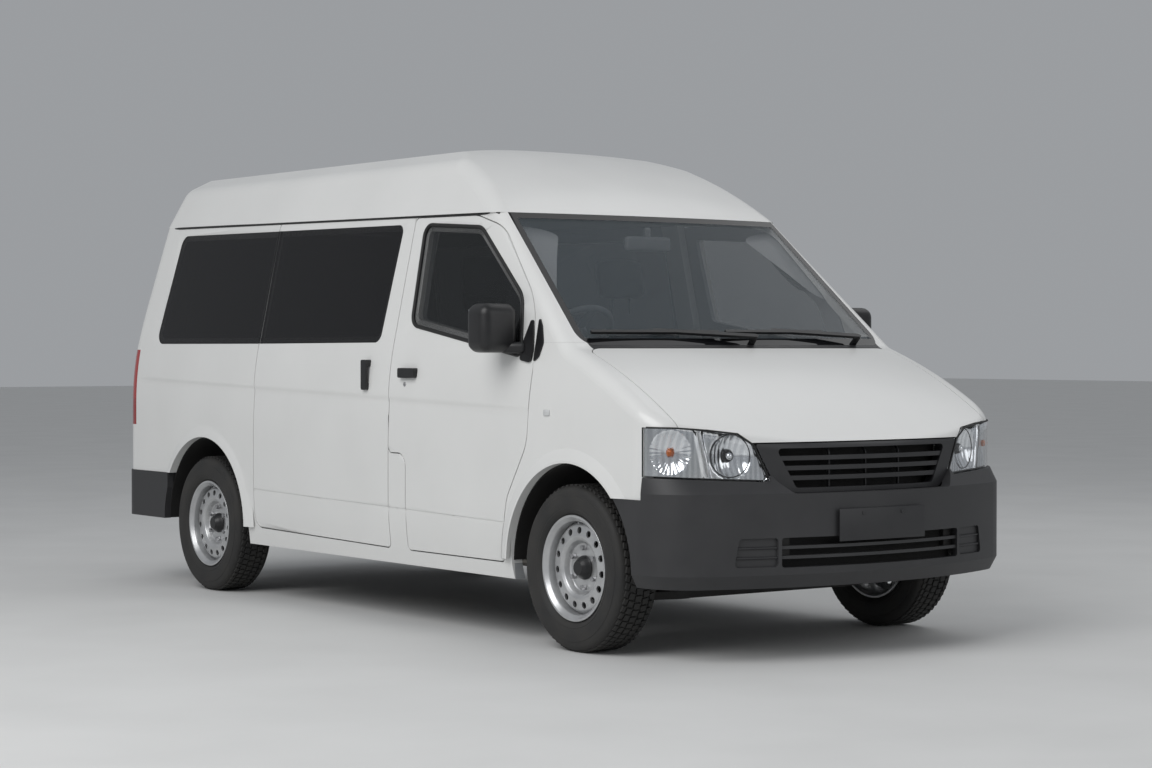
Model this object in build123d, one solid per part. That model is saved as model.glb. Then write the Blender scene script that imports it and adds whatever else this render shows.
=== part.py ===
from build123d import *
from math import asin, atan2, cos, hypot, radians, sin, sqrt, tan
import os

os.makedirs("parts", exist_ok=True)

# A high-roof passenger van. Everything is drawn in millimetres with y counted
# from the front axle (positive towards the tail), x to the van's left and z up
# from the road. The whole van is slid along y at the end, so that the origin
# lies under the middle of its length.

# Overall sizes
FRONT_OVERHANG = 815.0
WHEELBASE = 3040.0
REAR_OVERHANG = 885.0
HALF_WIDTH = 893.0
ROOF_TOP = 2080.0
WALL = 50.0
GLASS_OUT = 1.5
GLASS_IN = 7.5
SHUT_GAP = 5.0
SEAT_GAP = 0.3
LENGTH = FRONT_OVERHANG + WHEELBASE + REAR_OVERHANG
BUMPER_PROUD_FRONT = 60.0
BUMPER_PROUD_REAR = 25.0
NOSE_Y = BUMPER_PROUD_FRONT - FRONT_OVERHANG
TAIL_Y = WHEELBASE + REAR_OVERHANG - BUMPER_PROUD_REAR

# Wheels
AXLE_Z = 327.0
TYRE_R = 327.0
TYRE_W = 195.0
RIM_SEAT_R = 191.0
RIM_FLANGE_R = 208.0
WHEEL_X = 785.0
SPINDLE_BORE_R = 30.0
VENT_COUNT = 15
VENT_PITCH_R = 147.0
VENT_R = 13.5
KINGPIN_X = 700.0
FRONT_ARCH_R = 410.0
REAR_ARCH_R = 422.0

# Body section, plan and profile
SILL_BOTTOM = 255.0
WAIST_LOW = 550.0
WAIST_HIGH = 900.0
TUCK_R = 1600.0
SHOULDER_R = 1500.0
SIDE_LEAN = 12.0
BODY_CUT_Z = 1860.0
BOW_AXIS_Y = 4245.0
NOSE_R = 1900.0
CORNER_R = 200.0
HOOD_FRONT = (-730.0, 826.0)
COWL = (-40.0, 1187.0)
HOOD_CROWN = 30.0
SCREEN_SLOPE = 40.83
COWL_R = 120.0
TAIL_UPRIGHT_Z = 1100.0
TAIL_R = 1500.0
TAIL_LEAN = 11.0
HOOD_EDGE_R = 60.0
TAIL_EDGE_R = 90.0

# Roof
DRIP_Z = 1745.0
DRIP_Y = 600.0
DRIP_RISE = 0.0165
ROOF_LIP_X = 752.0
ROOF_SIDE = (645.0, 1985.0)
ROOF_CROWN_R = 4000.0
ROOF_SHOULDER_R = 110.0
ROOF_WALL = 36.0
ROOF_FRONT = (600.0, 1740.0)
ROOF_FRONT_TOP_Y = 1650.0
ROOF_EDGE_R = 85.0
ROOF_BROW_R = 90.0

# Cabin and chassis
FLOOR_Z = 500.0
FLOOR_T = 28.0
FLOOR_FRONT_Y = 428.0
RAIL_X = 435.0
RAIL_W = 70.0
RAIL_H = 100.0
STEER_WHEEL_X = -370.0
STEER_WHEEL_YZ = (690.0, 1240.0)
STEER_WHEEL_R = 185.0
STEER_TILT = 50.0
SEAT_X = 370.0

# Doors, hood and tailgate
DOOR_REAR_Y = 1335.0
SLIDE_REAR_Y = WHEELBASE - 500.0
BELT_TOP_Z = 1757.0
HOOD_SIDE_X = 795.0
HOOD_REAR_RHO = 4300.0
TAILGATE_BOTTOM_Z = 575.0
TAILGATE_HALF = 745.0


def rounded(rows):
    """Closed outline from rows of (u, v, corner radius)."""
    count = len(rows)
    corners = []
    for i in range(count):
        u, v, r = rows[i]
        p = Vector(u, v)
        before = (Vector(*rows[i - 1][:2]) - p).normalized()
        after = (Vector(*rows[(i + 1) % count][:2]) - p).normalized()
        if r == 0:
            corners.append((p, None, p))
            continue
        half = radians(before.get_angle(after) / 2)
        reach = r / tan(half)
        centre = p + (before + after).normalized() * (r / sin(half))
        middle = centre + (p - centre).normalized() * r
        corners.append((p + before * reach, middle, p + after * reach))
    edges = []
    for i in range(count):
        start, middle, end = corners[i]
        if middle is not None:
            edges.append(ThreePointArc(start, middle, end))
        nxt = corners[(i + 1) % count][0]
        if (nxt - end).length > 1e-6:
            edges.append(Line(end, nxt))
    return make_face(edges)


def grow(face, d):
    return offset(face, amount=d, kind=Kind.INTERSECTION)


def along_x(face, x0, x1):
    return Pos(x0, 0, 0) * extrude(Plane.YZ * face, x1 - x0)


def along_y(face, y0, y1):
    return Pos(0, y0, 0) * extrude(Plane.XZ * face, y0 - y1)


def along_z(face, z0, z1):
    return Pos(0, 0, z0) * extrude(face, z1 - z0)


def block(x0, x1, y0, y1, z0, z1):
    middle = Pos((x0 + x1) / 2, (y0 + y1) / 2, (z0 + z1) / 2)
    return middle * Box(abs(x1 - x0), abs(y1 - y0), abs(z1 - z0))


def rod_x(x0, x1, y, z, r):
    return Pos((x0 + x1) / 2, y, z) * Rot(0, 90, 0) * Cylinder(r, abs(x1 - x0))


def rod_y(x, y0, y1, z, r):
    return Pos(x, (y0 + y1) / 2, z) * Rot(90, 0, 0) * Cylinder(r, abs(y1 - y0))


def rod_z(x, y, z0, z1, r):
    return Pos(x, y, (z0 + z1) / 2) * Cylinder(r, abs(z1 - z0))


def strut(p, q, r):
    start = Vector(*p)
    run = Vector(*q) - start
    return Plane(origin=start, z_dir=run) * Cylinder(r, run.length, align=(Align.CENTER, Align.CENTER, Align.MIN))


def other_side(shape):
    return mirror(shape, about=Plane.YZ)


def both_sides(shape):
    return shape + other_side(shape)


def biggest(shape):
    return sorted(shape.solids(), key=lambda s: s.volume)[-1]


# The body's outer form and its insets


def section_face(bottom):
    lean = radians(SIDE_LEAN)
    z2 = WAIST_HIGH + SHOULDER_R * sin(lean)
    x2 = HALF_WIDTH - SHOULDER_R * (1 - cos(lean))
    x3 = x2 - (BODY_CUT_Z - z2) * tan(lean)
    xm = HALF_WIDTH - SHOULDER_R * (1 - cos(lean / 2))
    zm = WAIST_HIGH + SHOULDER_R * sin(lean / 2)
    tuck = asin((WAIST_LOW - bottom) / TUCK_R)
    xb = HALF_WIDTH - TUCK_R * (1 - cos(tuck))
    xt = HALF_WIDTH - TUCK_R * (1 - cos(tuck / 2))
    zt = WAIST_LOW - TUCK_R * sin(tuck / 2)
    edges = [Line((-xb, bottom), (xb, bottom)), Line((x3, BODY_CUT_Z), (-x3, BODY_CUT_Z))]
    for s in (1, -1):
        edges.append(ThreePointArc((s * xb, bottom), (s * xt, zt), (s * HALF_WIDTH, WAIST_LOW)))
        edges.append(Line((s * HALF_WIDTH, WAIST_LOW), (s * HALF_WIDTH, WAIST_HIGH)))
        edges.append(ThreePointArc((s * HALF_WIDTH, WAIST_HIGH), (s * xm, zm), (s * x2, z2)))
        edges.append(Line((s * x2, z2), (s * x3, BODY_CUT_Z)))
    return make_face(edges)


def plan_face(half_width, nose_y, corner_r, rear_y):
    centre_y = nose_y + NOSE_R
    cx = half_width - corner_r
    cy = centre_y - sqrt((NOSE_R - corner_r) ** 2 - cx ** 2)
    tx = cx * NOSE_R / (NOSE_R - corner_r)
    ty = centre_y - (centre_y - cy) * NOSE_R / (NOSE_R - corner_r)
    half_turn = atan2(centre_y - ty, tx) / 2
    mx = cx + corner_r * cos(half_turn)
    my = cy - corner_r * sin(half_turn)
    edges = [ThreePointArc((-tx, ty), (0, nose_y), (tx, ty))]
    edges.append(Line((half_width, rear_y), (-half_width, rear_y)))
    for s in (1, -1):
        edges.append(ThreePointArc((s * tx, ty), (s * mx, my), (s * half_width, cy)))
        edges.append(Line((s * half_width, cy), (s * half_width, rear_y)))
    return make_face(edges)


def bow(y, z):
    return (BOW_AXIS_Y - y, z)


def screen_face():
    chord = hypot(COWL[0] - HOOD_FRONT[0], COWL[1] - HOOD_FRONT[1])
    r = chord * chord / 8 / HOOD_CROWN + HOOD_CROWN / 2
    ny = -(COWL[1] - HOOD_FRONT[1]) / chord
    nz = (COWL[0] - HOOD_FRONT[0]) / chord
    cy = (COWL[0] + HOOD_FRONT[0]) / 2 - ny * (r - HOOD_CROWN)
    cz = (COWL[1] + HOOD_FRONT[1]) / 2 - nz * (r - HOOD_CROWN)

    def hood_z(y):
        return cz + sqrt(r * r - (y - cy) ** 2)

    y0 = NOSE_Y - 145
    y1 = TAIL_Y + 145
    ym = (y0 + COWL[0]) / 2
    yt = COWL[0] + (BODY_CUT_Z - COWL[1]) / tan(radians(SCREEN_SLOPE))
    edges = [
        Line(bow(y1, 0), bow(y0, 0)),
        Line(bow(y0, 0), bow(y0, hood_z(y0))),
        ThreePointArc(bow(y0, hood_z(y0)), bow(ym, hood_z(ym)), bow(*COWL)),
        Line(bow(*COWL), bow(yt, BODY_CUT_Z)),
        Line(bow(yt, BODY_CUT_Z), bow(y1, BODY_CUT_Z)),
        Line(bow(y1, BODY_CUT_Z), bow(y1, 0)),
    ]
    face = make_face(edges)
    base = Vector(*bow(*COWL))
    return fillet([v for v in face.vertices() if (Vector(v.X, v.Y) - base).length < 1], COWL_R)


def tail_face(top):
    lean = radians(TAIL_LEAN)
    z2 = TAIL_UPRIGHT_Z + TAIL_R * sin(lean)
    y2 = TAIL_Y - TAIL_R * (1 - cos(lean))
    ym = TAIL_Y - TAIL_R * (1 - cos(lean / 2))
    zm = TAIL_UPRIGHT_Z + TAIL_R * sin(lean / 2)
    y3 = y2 - (top - z2) * tan(lean)
    front = NOSE_Y - 400
    edges = [
        Line((front, 0), (TAIL_Y, 0)),
        Line((TAIL_Y, 0), (TAIL_Y, TAIL_UPRIGHT_Z)),
        ThreePointArc((TAIL_Y, TAIL_UPRIGHT_Z), (ym, zm), (y2, z2)),
        Line((y2, z2), (y3, top)),
        Line((y3, top), (front, top)),
        Line((front, top), (front, 0)),
    ]
    return make_face(edges)


def inset(face, d):
    return face if d == 0 else offset(face, amount=-d, kind=Kind.INTERSECTION)


def body_volume(d):
    """The closed outer form of the lower body, moved in by d on every wall."""
    bottom = SILL_BOTTOM if d == 0 else SILL_BOTTOM - 2 * d
    front = NOSE_Y - 300
    rear = TAIL_Y + 300
    form = along_y(inset(section_face(bottom), d), front, rear)
    form = form & along_x(inset(tail_face(BODY_CUT_Z), d), -HALF_WIDTH - 100, HALF_WIDTH + 100)
    plan = inset(plan_face(HALF_WIDTH, NOSE_Y, CORNER_R, rear), d)
    form = form & along_z(plan, bottom - 100, BODY_CUT_Z + 100)
    turned = revolve(Plane.XZ * inset(screen_face(), d), Axis.Z, 360)
    form = biggest(form & (Pos(0, BOW_AXIS_Y, 0) * turned))
    tail = []
    for e in form.edges():
        c = e @ 0.5
        if c.Y > TAIL_Y - 300 and abs(c.X) > 600 and bottom + 1 < c.Z < BODY_CUT_Z - d - 1:
            tail.append(e)
    form = form.fillet(max(TAIL_EDGE_R - d, 4), tail)
    seen = {}
    for f in form.faces():
        if f.geom_type in (GeomType.CONE, GeomType.TORUS) and f.center().Y < TAIL_Y / 2:
            for e in f.edges():
                key = tuple(round(v, 1) for v in e @ 0.5)
                seen.setdefault(key, []).append(e)
    ring = [es[0] for k, es in seen.items() if len(es) == 1 and k[2] < BODY_CUT_Z - d - 1]
    return form.fillet(max(HOOD_EDGE_R - d, 4), ring)


def drip_z(y):
    return DRIP_Z + DRIP_RISE * (y - DRIP_Y)


def under_drip(d):
    """Everything below the seam between body and roof, lowered by d."""
    y0 = NOSE_Y - 300
    y1 = TAIL_Y + 300
    rows = [(y0, 0, 0), (y1, 0, 0), (y1, drip_z(y1) - d, 0), (y0, drip_z(y0) - d, 0)]
    return along_x(rounded(rows), -HALF_WIDTH - 200, HALF_WIDTH + 200)


outer = body_volume(0)
inner = body_volume(WALL)
glass_in = body_volume(GLASS_IN)
glass_layer = body_volume(GLASS_OUT) - glass_in
cabin = body_volume(WALL + SEAT_GAP)

# Soft flares round the wheel openings: axle y, opening radius
arches = [(0.0, FRONT_ARCH_R), (WHEELBASE, REAR_ARCH_R)]
FLARE_PROUD = 13.0
FLARE_WIDTH = 70.0
for axle_y, r in arches:
    flare = Cone(r + FLARE_WIDTH, r + 10, FLARE_PROUD + 4)
    flare = Pos(HALF_WIDTH - 4 + (FLARE_PROUD + 4) / 2, axle_y, AXLE_Z) * Rot(0, 90, 0) * flare
    flare = flare & block(0, 1200, axle_y - 600, axle_y + 600, AXLE_Z + 10, 1000)
    outer = outer + both_sides(flare)
outer = biggest(outer)

arch_cut = Part()
for axle_y, r in arches:
    arch_cut = arch_cut + both_sides(rod_x(500, 1100, axle_y, AXLE_Z, r))

shell = (outer - inner) & under_drip(0)
half_shell = shell & block(0, 1200, NOSE_Y - 300, TAIL_Y + 300, 0, 2200)

# Outlines in side view: y, z, corner radius
DOOR_BOTTOM_Z = 322.0
NOTCH_Y = 1190.0
NOTCH_Z = 735.0
front_door_rows = [
    (463, DOOR_BOTTOM_Z, 20),
    (458, 441, 150),
    (426, 585, 150),
    (287, 802, 200),
    (259, 1117, 300),
    (314, 1370, 300),
    (643, 1684, 250),
    (850, 1738, 200),
    (DOOR_REAR_Y - SHUT_GAP, 1746, 25),
    (DOOR_REAR_Y - SHUT_GAP, NOTCH_Z, 25),
    (NOTCH_Y, NOTCH_Z, 60),
    (NOTCH_Y, DOOR_BOTTOM_Z, 20),
]
front_window_rows = [
    (347, 1150, 25),
    (408, 1392, 120),
    (800, 1688, 110),
    (1245, 1716, 45),
    (1215, 1283, 60),
]
sliding_door_rows = [
    (DOOR_REAR_Y, DOOR_BOTTOM_Z, 25),
    (DOOR_REAR_Y, BELT_TOP_Z, 25),
    (SLIDE_REAR_Y, BELT_TOP_Z + 18, 25),
    (SLIDE_REAR_Y, DOOR_BOTTOM_Z + 20, 60),
]
WINDOW_BOTTOM_Z = 1203.0
sliding_window_rows = [
    (DOOR_REAR_Y + 115, WINDOW_BOTTOM_Z + 4, 45),
    (DOOR_REAR_Y + 85, 1722, 40),
    (SLIDE_REAR_Y - 6, 1736, 6),
    (SLIDE_REAR_Y - 6, WINDOW_BOTTOM_Z, 6),
]
quarter_window_rows = [
    (SLIDE_REAR_Y + 6, WINDOW_BOTTOM_Z, 6),
    (SLIDE_REAR_Y + 6, 1736, 6),
    (TAIL_Y - 355, 1749, 60),
    (TAIL_Y - 275, WINDOW_BOTTOM_Z, 60),
]
PANE_LIP = 28.0
front_door_face = rounded(front_door_rows)
front_window_face = rounded(front_window_rows)
sliding_door_face = rounded(sliding_door_rows)
sliding_window_face = rounded(sliding_window_rows)
quarter_window_face = rounded(quarter_window_rows)

# Outlines in front view: x, z, corner radius, on the left half
LAMP_OUTER_Y = -460.0
lamp_rows = [
    (461, 683, 18),
    (960, 706, 0),
    (960, 889, 0),
    (811, 886, 60),
    (702, 877, 60),
    (590, 863, 40),
    (529, 822, 30),
]
GRILLE_TOP_Z = 824.0
GRILLE_BOTTOM_Z = 638.0
grille_rows = [
    (-520, GRILLE_TOP_Z, 8),
    (520, GRILLE_TOP_Z, 8),
    (450, 684, 60),
    (402, GRILLE_BOTTOM_Z, 40),
    (-402, GRILLE_BOTTOM_Z, 40),
    (-450, 684, 60),
]
grille_mouth_rows = [
    (-437, 806, 14),
    (437, 806, 14),
    (352, 656, 20),
    (-352, 656, 20),
]
screen_rows = [
    (-797, 1196, 50),
    (797, 1196, 50),
    (706, 1790, 40),
    (-706, 1790, 40),
]
TAILGATE_TOP_Z = drip_z(TAIL_Y - 110) - SHUT_GAP
tailgate_rows = [
    (-TAILGATE_HALF, TAILGATE_BOTTOM_Z, 40),
    (TAILGATE_HALF, TAILGATE_BOTTOM_Z, 40),
    (TAILGATE_HALF, 1180, 200),
    (TAILGATE_HALF - 128, TAILGATE_TOP_Z, 40),
    (-TAILGATE_HALF + 128, TAILGATE_TOP_Z, 40),
    (-TAILGATE_HALF, 1180, 200),
]
tail_window_rows = [
    (-650, 1215, 70),
    (650, 1215, 70),
    (555, 1735, 60),
    (-555, 1735, 60),
]
lamp_face = rounded(lamp_rows)
grille_face = rounded(grille_rows)
tailgate_face = rounded(tailgate_rows)
tail_window_face = rounded(tail_window_rows)
screen_face_front = rounded(screen_rows)


def lamp_cut(d):
    """The headlamp's place on the left corner, grown by d."""
    face = lamp_face if d == 0 else grow(lamp_face, d)
    return along_y(face, NOSE_Y - 200, LAMP_OUTER_Y + d)


def hood_plan(d):
    x = HOOD_SIDE_X + d
    rho = HOOD_REAR_RHO - d
    rear = BOW_AXIS_Y - sqrt(rho ** 2 - x ** 2)
    front = NOSE_Y - 200
    edges = [
        Line((-x, front), (x, front)),
        Line((x, front), (x, rear)),
        ThreePointArc((x, rear), (0, BOW_AXIS_Y - rho), (-x, rear)),
        Line((-x, rear), (-x, front)),
    ]
    face = make_face(edges)
    return fillet([v for v in face.vertices() if v.Y > front + 1], 55 + d)


# Body sides
FENDER_TOP_Z = 1205.0
FENDER_FOOT_Z = 318.0
BUMPER_SIDE_TOP_Z = 615.0
BUMPER_TOP_Z = 704.0
BUMPER_STEP_Y = -463.0
REAR_BUMPER_TOP_Z = 560.0
REAR_BUMPER_FOOT_Z = 330.0

# Pressed line low along the doors: front y and z, rear y and z
PRESS_DEPTH = 3.0
PRESS_HALF = 4.0
PRESS_FRONT = (400.0, 479.5)
PRESS_REAR = (SLIDE_REAR_Y + 20.0, 516.5)
press_rows = [(PRESS_FRONT[0], PRESS_FRONT[1] - PRESS_HALF, 0), (PRESS_REAR[0], PRESS_REAR[1] - PRESS_HALF, 0),
              (PRESS_REAR[0], PRESS_REAR[1] + PRESS_HALF, 0), (PRESS_FRONT[0], PRESS_FRONT[1] + PRESS_HALF, 0)]
press_cut = along_x(rounded(press_rows), 500, 1200) - body_volume(PRESS_DEPTH)

screen_cut = along_y(grow(screen_face_front, SEAT_GAP), NOSE_Y, 1100)
screen_hole = along_y(grow(screen_face_front, -PANE_LIP), NOSE_Y, 1100)
front_zone = block(0, 1200, NOSE_Y - 300, 520, FENDER_FOOT_Z - SEAT_GAP, FENDER_TOP_Z + SEAT_GAP)
nose_zone = block(0, 1200, NOSE_Y - 300, 0, 0, FENDER_TOP_Z + SEAT_GAP)
door_opening = along_x(grow(front_door_face, SHUT_GAP), 500, 1200)
sliding_opening = along_x(grow(sliding_door_face, SHUT_GAP), 500, 1200)
tail_opening = along_y(grow(tailgate_face, SHUT_GAP), TAIL_Y - 400, TAIL_Y + 200)
tail_top = block(-TAILGATE_HALF + 128, TAILGATE_HALF - 128, TAIL_Y - 300, TAIL_Y + 200, 1700, 1900)
COWL_HALF = HOOD_SIDE_X - 30
COWL_TOP_Z = 1232.0


def cowl_zone(d):
    return block(-COWL_HALF - d, COWL_HALF + d, -200, 300, 1000, COWL_TOP_Z + d)


TAIL_LAMP_LOW = 793.0
TAIL_LAMP_HIGH = 1174.0
TAIL_LAMP_Y = TAIL_Y - 110.0


def tail_lamp_box(d):
    return block(TAILGATE_HALF + SHUT_GAP - d, 1200, TAIL_LAMP_Y - d, TAIL_Y + 200,
                 TAIL_LAMP_LOW - d, TAIL_LAMP_HIGH + d)


rear_bumper_zone = block(0, 1200, WHEELBASE, TAIL_Y + 200, 0, REAR_BUMPER_TOP_Z + SEAT_GAP)
quarter_recess = along_x(quarter_window_face, 400, 1200) - glass_in
quarter_hole = along_x(grow(quarter_window_face, -PANE_LIP), 400, 1200)
screen_recess = screen_cut - glass_in

side = half_shell - arch_cut - front_zone - nose_zone - door_opening - sliding_opening
side = side - screen_recess - screen_hole - tail_opening - tail_top
side = side - tail_lamp_box(SEAT_GAP) - rear_bumper_zone - quarter_recess - quarter_hole
side = side - cowl_zone(SEAT_GAP)
body_side_left = biggest(side - (press_cut & block(0, 1200, NOTCH_Y, DOOR_REAR_Y + 60, 0, NOTCH_Z)))
screen_pillar = sorted(side.solids(), key=lambda p: p.center().Y)[0]

fender = half_shell & block(0, 1200, NOSE_Y - 300, 520, FENDER_FOOT_Z, FENDER_TOP_Z)
fender = fender - door_opening - arch_cut - along_z(hood_plan(SHUT_GAP), 0, 2000)
fender = fender - lamp_cut(SEAT_GAP) - cowl_zone(SEAT_GAP) - screen_recess - screen_hole
fender = fender - block(0, 1200, NOSE_Y - 300, BUMPER_STEP_Y, 0, BUMPER_TOP_Z + 2)
fender = biggest(fender - block(0, 1200, NOSE_Y - 300, 0, 0, BUMPER_SIDE_TOP_Z + SEAT_GAP))

hood = shell & along_z(hood_plan(0), 829, 2000)
hood = biggest(hood - both_sides(lamp_cut(3)))

cowl = (shell & cowl_zone(0)) - along_z(hood_plan(SHUT_GAP), 0, 2000)
cowl = cowl - screen_recess - screen_hole
cowl_panel = biggest(cowl)

# Doors
front_door = half_shell & along_x(front_door_face, 500, 1200)
pane_recess = along_x(front_window_face, 400, 1200) - glass_in
front_door = front_door - arch_cut - pane_recess - along_x(grow(front_window_face, -PANE_LIP), 400, 1200)
front_door = biggest(front_door - press_cut)
front_door_glass = biggest(glass_layer & along_x(grow(front_window_face, -SEAT_GAP), 500, 1200))

sliding_door = half_shell & along_x(sliding_door_face, 500, 1200)
sliding_recess = along_x(sliding_window_face, 400, 1200) - glass_in
sliding_hole = along_x(grow(sliding_window_face, -PANE_LIP), 400, 1200)
sliding_door = biggest(sliding_door - arch_cut - sliding_recess - sliding_hole - press_cut)
sliding_glass = biggest(glass_layer & along_x(grow(sliding_window_face, -SEAT_GAP), 500, 1200))
quarter_glass = biggest(glass_layer & along_x(grow(quarter_window_face, -SEAT_GAP), 500, 1200))

windscreen = glass_layer & along_y(screen_face_front, NOSE_Y, 1100) & under_drip(SEAT_GAP)
windscreen = biggest(windscreen)

# Tailgate
tailgate = shell & along_y(tailgate_face, TAIL_Y - 400, TAIL_Y + 200)
tail_recess = along_y(tail_window_face, TAIL_Y - 400, TAIL_Y + 200) - glass_in
tail_hole = along_y(grow(tail_window_face, -PANE_LIP), TAIL_Y - 400, TAIL_Y + 200)
tailgate = biggest(tailgate - tail_recess - tail_hole)
tail_pane = along_y(grow(tail_window_face, -SEAT_GAP), TAIL_Y - 400, TAIL_Y + 200)
tailgate_glass = biggest(glass_layer & tail_pane)
tail_lamp = biggest(half_shell & tail_lamp_box(0))

# Headlamps: a clear lens over a housing with two reflector bowls
lamp_piece = half_shell & lamp_cut(0)
headlamp_lens = biggest(lamp_piece - glass_in)
housing = biggest(lamp_piece & glass_in)
# bowl x, y, z, radius
bowl_rows = [
    (610, -720, 775, 82),
    (800, -640, 785, 78),
]
for x, y, z, r in bowl_rows:
    housing = housing - Pos(x, y, z) * Sphere(r)
headlamp_housing = biggest(housing)

# Grille: a frame, three slats and thin uprights behind them
GRILLE_DEPTH = 42.0
SLAT_COUNT = 3
SLAT_H = 17.0
grille_form = body_volume(4)
grille_back = body_volume(GRILLE_DEPTH)
grille_all = along_y(grille_face, NOSE_Y - 200, 0)
mouth = along_y(rounded(grille_mouth_rows), NOSE_Y - 200, 0)
grille = (outer & grille_all) - grille_back - mouth
slat_form = (grille_form & mouth) - grille_back
mouth_low = grille_mouth_rows[2][1]
mouth_high = grille_mouth_rows[0][1]
slat_pitch = (mouth_high - mouth_low) / (SLAT_COUNT + 1)
for i in range(SLAT_COUNT):
    z = mouth_low + slat_pitch * (i + 1)
    grille = grille + (slat_form & block(-600, 600, NOSE_Y - 50, 0, z - SLAT_H / 2, z + SLAT_H / 2))
upright_form = (body_volume(GRILLE_DEPTH - 10) & mouth) - grille_back
for x in (-180, 0, 180):
    grille = grille + (upright_form & block(x - 3, x + 3, NOSE_Y - 50, 0, 600, 830))
grille = biggest(grille)

# Front bumper
BUMPER_HALF = HALF_WIDTH + 5.0
BUMPER_CORNER_R = 235.0
BUMPER_WALL = 34.0
BUMPER_FOOT_Z = 284.0
BUMPER_CREASE_LOW = 335.0
BUMPER_CREASE_HIGH = 640.0
BUMPER_TUCK = 28.0


def bumper_volume(d):
    face = plan_face(BUMPER_HALF - d, -FRONT_OVERHANG + d, BUMPER_CORNER_R - d, 200)
    low = plan_face(BUMPER_HALF - d - BUMPER_TUCK, -FRONT_OVERHANG + d + BUMPER_TUCK,
                    BUMPER_CORNER_R - d - BUMPER_TUCK, 200)
    top = plan_face(HALF_WIDTH + 2 - d, NOSE_Y - 10 + d, CORNER_R - d, 200)
    foot = BUMPER_FOOT_Z if d == 0 else BUMPER_FOOT_Z - 1
    form = along_z(face, BUMPER_CREASE_LOW, BUMPER_CREASE_HIGH - d / 2)
    form = form + loft([Pos(0, 0, foot) * low, Pos(0, 0, BUMPER_CREASE_LOW) * face], ruled=True)
    form = form + loft([Pos(0, 0, BUMPER_CREASE_HIGH - d / 2) * face,
                        Pos(0, 0, BUMPER_TOP_Z - d / 2) * top], ruled=True)
    return form


INTAKE_LOW = 362.0
INTAKE_HIGH = 474.0
INTAKE_HALF = 455.0
FOG_HALF = 640.0
bumper_form = bumper_volume(0)
front_bumper = bumper_form - bumper_volume(BUMPER_WALL)
front_bumper = front_bumper - along_z(inset(plan_face(HALF_WIDTH, NOSE_Y, CORNER_R, 300), 40), 0, 900)
front_bumper = front_bumper - arch_cut - block(-1200, 1200, -120, 400, 0, 900)
front_bumper = front_bumper - block(-1200, 1200, BUMPER_STEP_Y - 3, 400, BUMPER_SIDE_TOP_Z, 900)
front_bumper = front_bumper - both_sides(lamp_cut(3)) - along_y(grow(grille_face, SEAT_GAP), -900, 0)
intake_rows = [(-INTAKE_HALF, INTAKE_LOW, 12), (INTAKE_HALF, INTAKE_LOW, 12),
               (INTAKE_HALF, INTAKE_HIGH, 12), (-INTAKE_HALF, INTAKE_HIGH, 12)]
intake = along_y(rounded(intake_rows), -900, 0)
fog_rows = [(INTAKE_HALF + 14, INTAKE_LOW + 4, 14), (FOG_HALF, INTAKE_LOW + 4, 14),
            (FOG_HALF - 20, INTAKE_HIGH, 14), (INTAKE_HALF + 14, INTAKE_HIGH, 14)]
fog_panel = along_y(rounded(fog_rows), -900, 0) - bumper_volume(12)
front_bumper = front_bumper - intake - both_sides(fog_panel)
bar_form = (bumper_volume(8) - bumper_volume(BUMPER_WALL)) & intake
for z in (400, 437):
    front_bumper = front_bumper + (bar_form & block(-600, 600, -900, 0, z - 6, z + 6))
front_bumper = biggest(front_bumper)

# Rear bumper
REAR_BUMPER_WALL = 34.0


def rear_bumper_form(d):
    x = BUMPER_HALF - d
    y = WHEELBASE + REAR_OVERHANG - d
    rows = [(-x, WHEELBASE, 0), (x, WHEELBASE, 0), (x, y, 115 - d), (-x, y, 115 - d)]
    return rounded(rows)


rear_bumper = along_z(rear_bumper_form(0), REAR_BUMPER_FOOT_Z, REAR_BUMPER_TOP_Z)
rear_bumper = rear_bumper - along_z(rear_bumper_form(REAR_BUMPER_WALL), 0, REAR_BUMPER_TOP_Z - 30)
rear_bumper = rear_bumper - along_z(rear_bumper_form(BUMPER_PROUD_REAR + 70), 0, 900)
rear_bumper = rear_bumper - arch_cut - block(-1200, 1200, 0, WHEELBASE + 390, 0, 900)
rear_bumper = biggest(rear_bumper)

# High roof


def roof_section():
    sx, sz = ROOF_SIDE
    foot = 1700.0
    lean = (ROOF_LIP_X - sx) / (sz - 1765.0)
    lip = ROOF_LIP_X + lean * (1765.0 - foot)
    crown_x = 520.0
    crown_z = ROOF_TOP - (ROOF_CROWN_R - sqrt(ROOF_CROWN_R ** 2 - crown_x ** 2))
    edges = [Line((-lip, foot), (lip, foot)),
             ThreePointArc((crown_x, crown_z), (0, ROOF_TOP), (-crown_x, crown_z))]
    for s in (1, -1):
        edges.append(Line((s * lip, foot), (s * sx, sz)))
        edges.append(Line((s * sx, sz), (s * crown_x, crown_z)))
    face = make_face(edges)
    bends = [v for v in face.vertices() if abs(abs(v.X) - sx) < 1 or abs(abs(v.X) - crown_x) < 1]
    return face, bends


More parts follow.
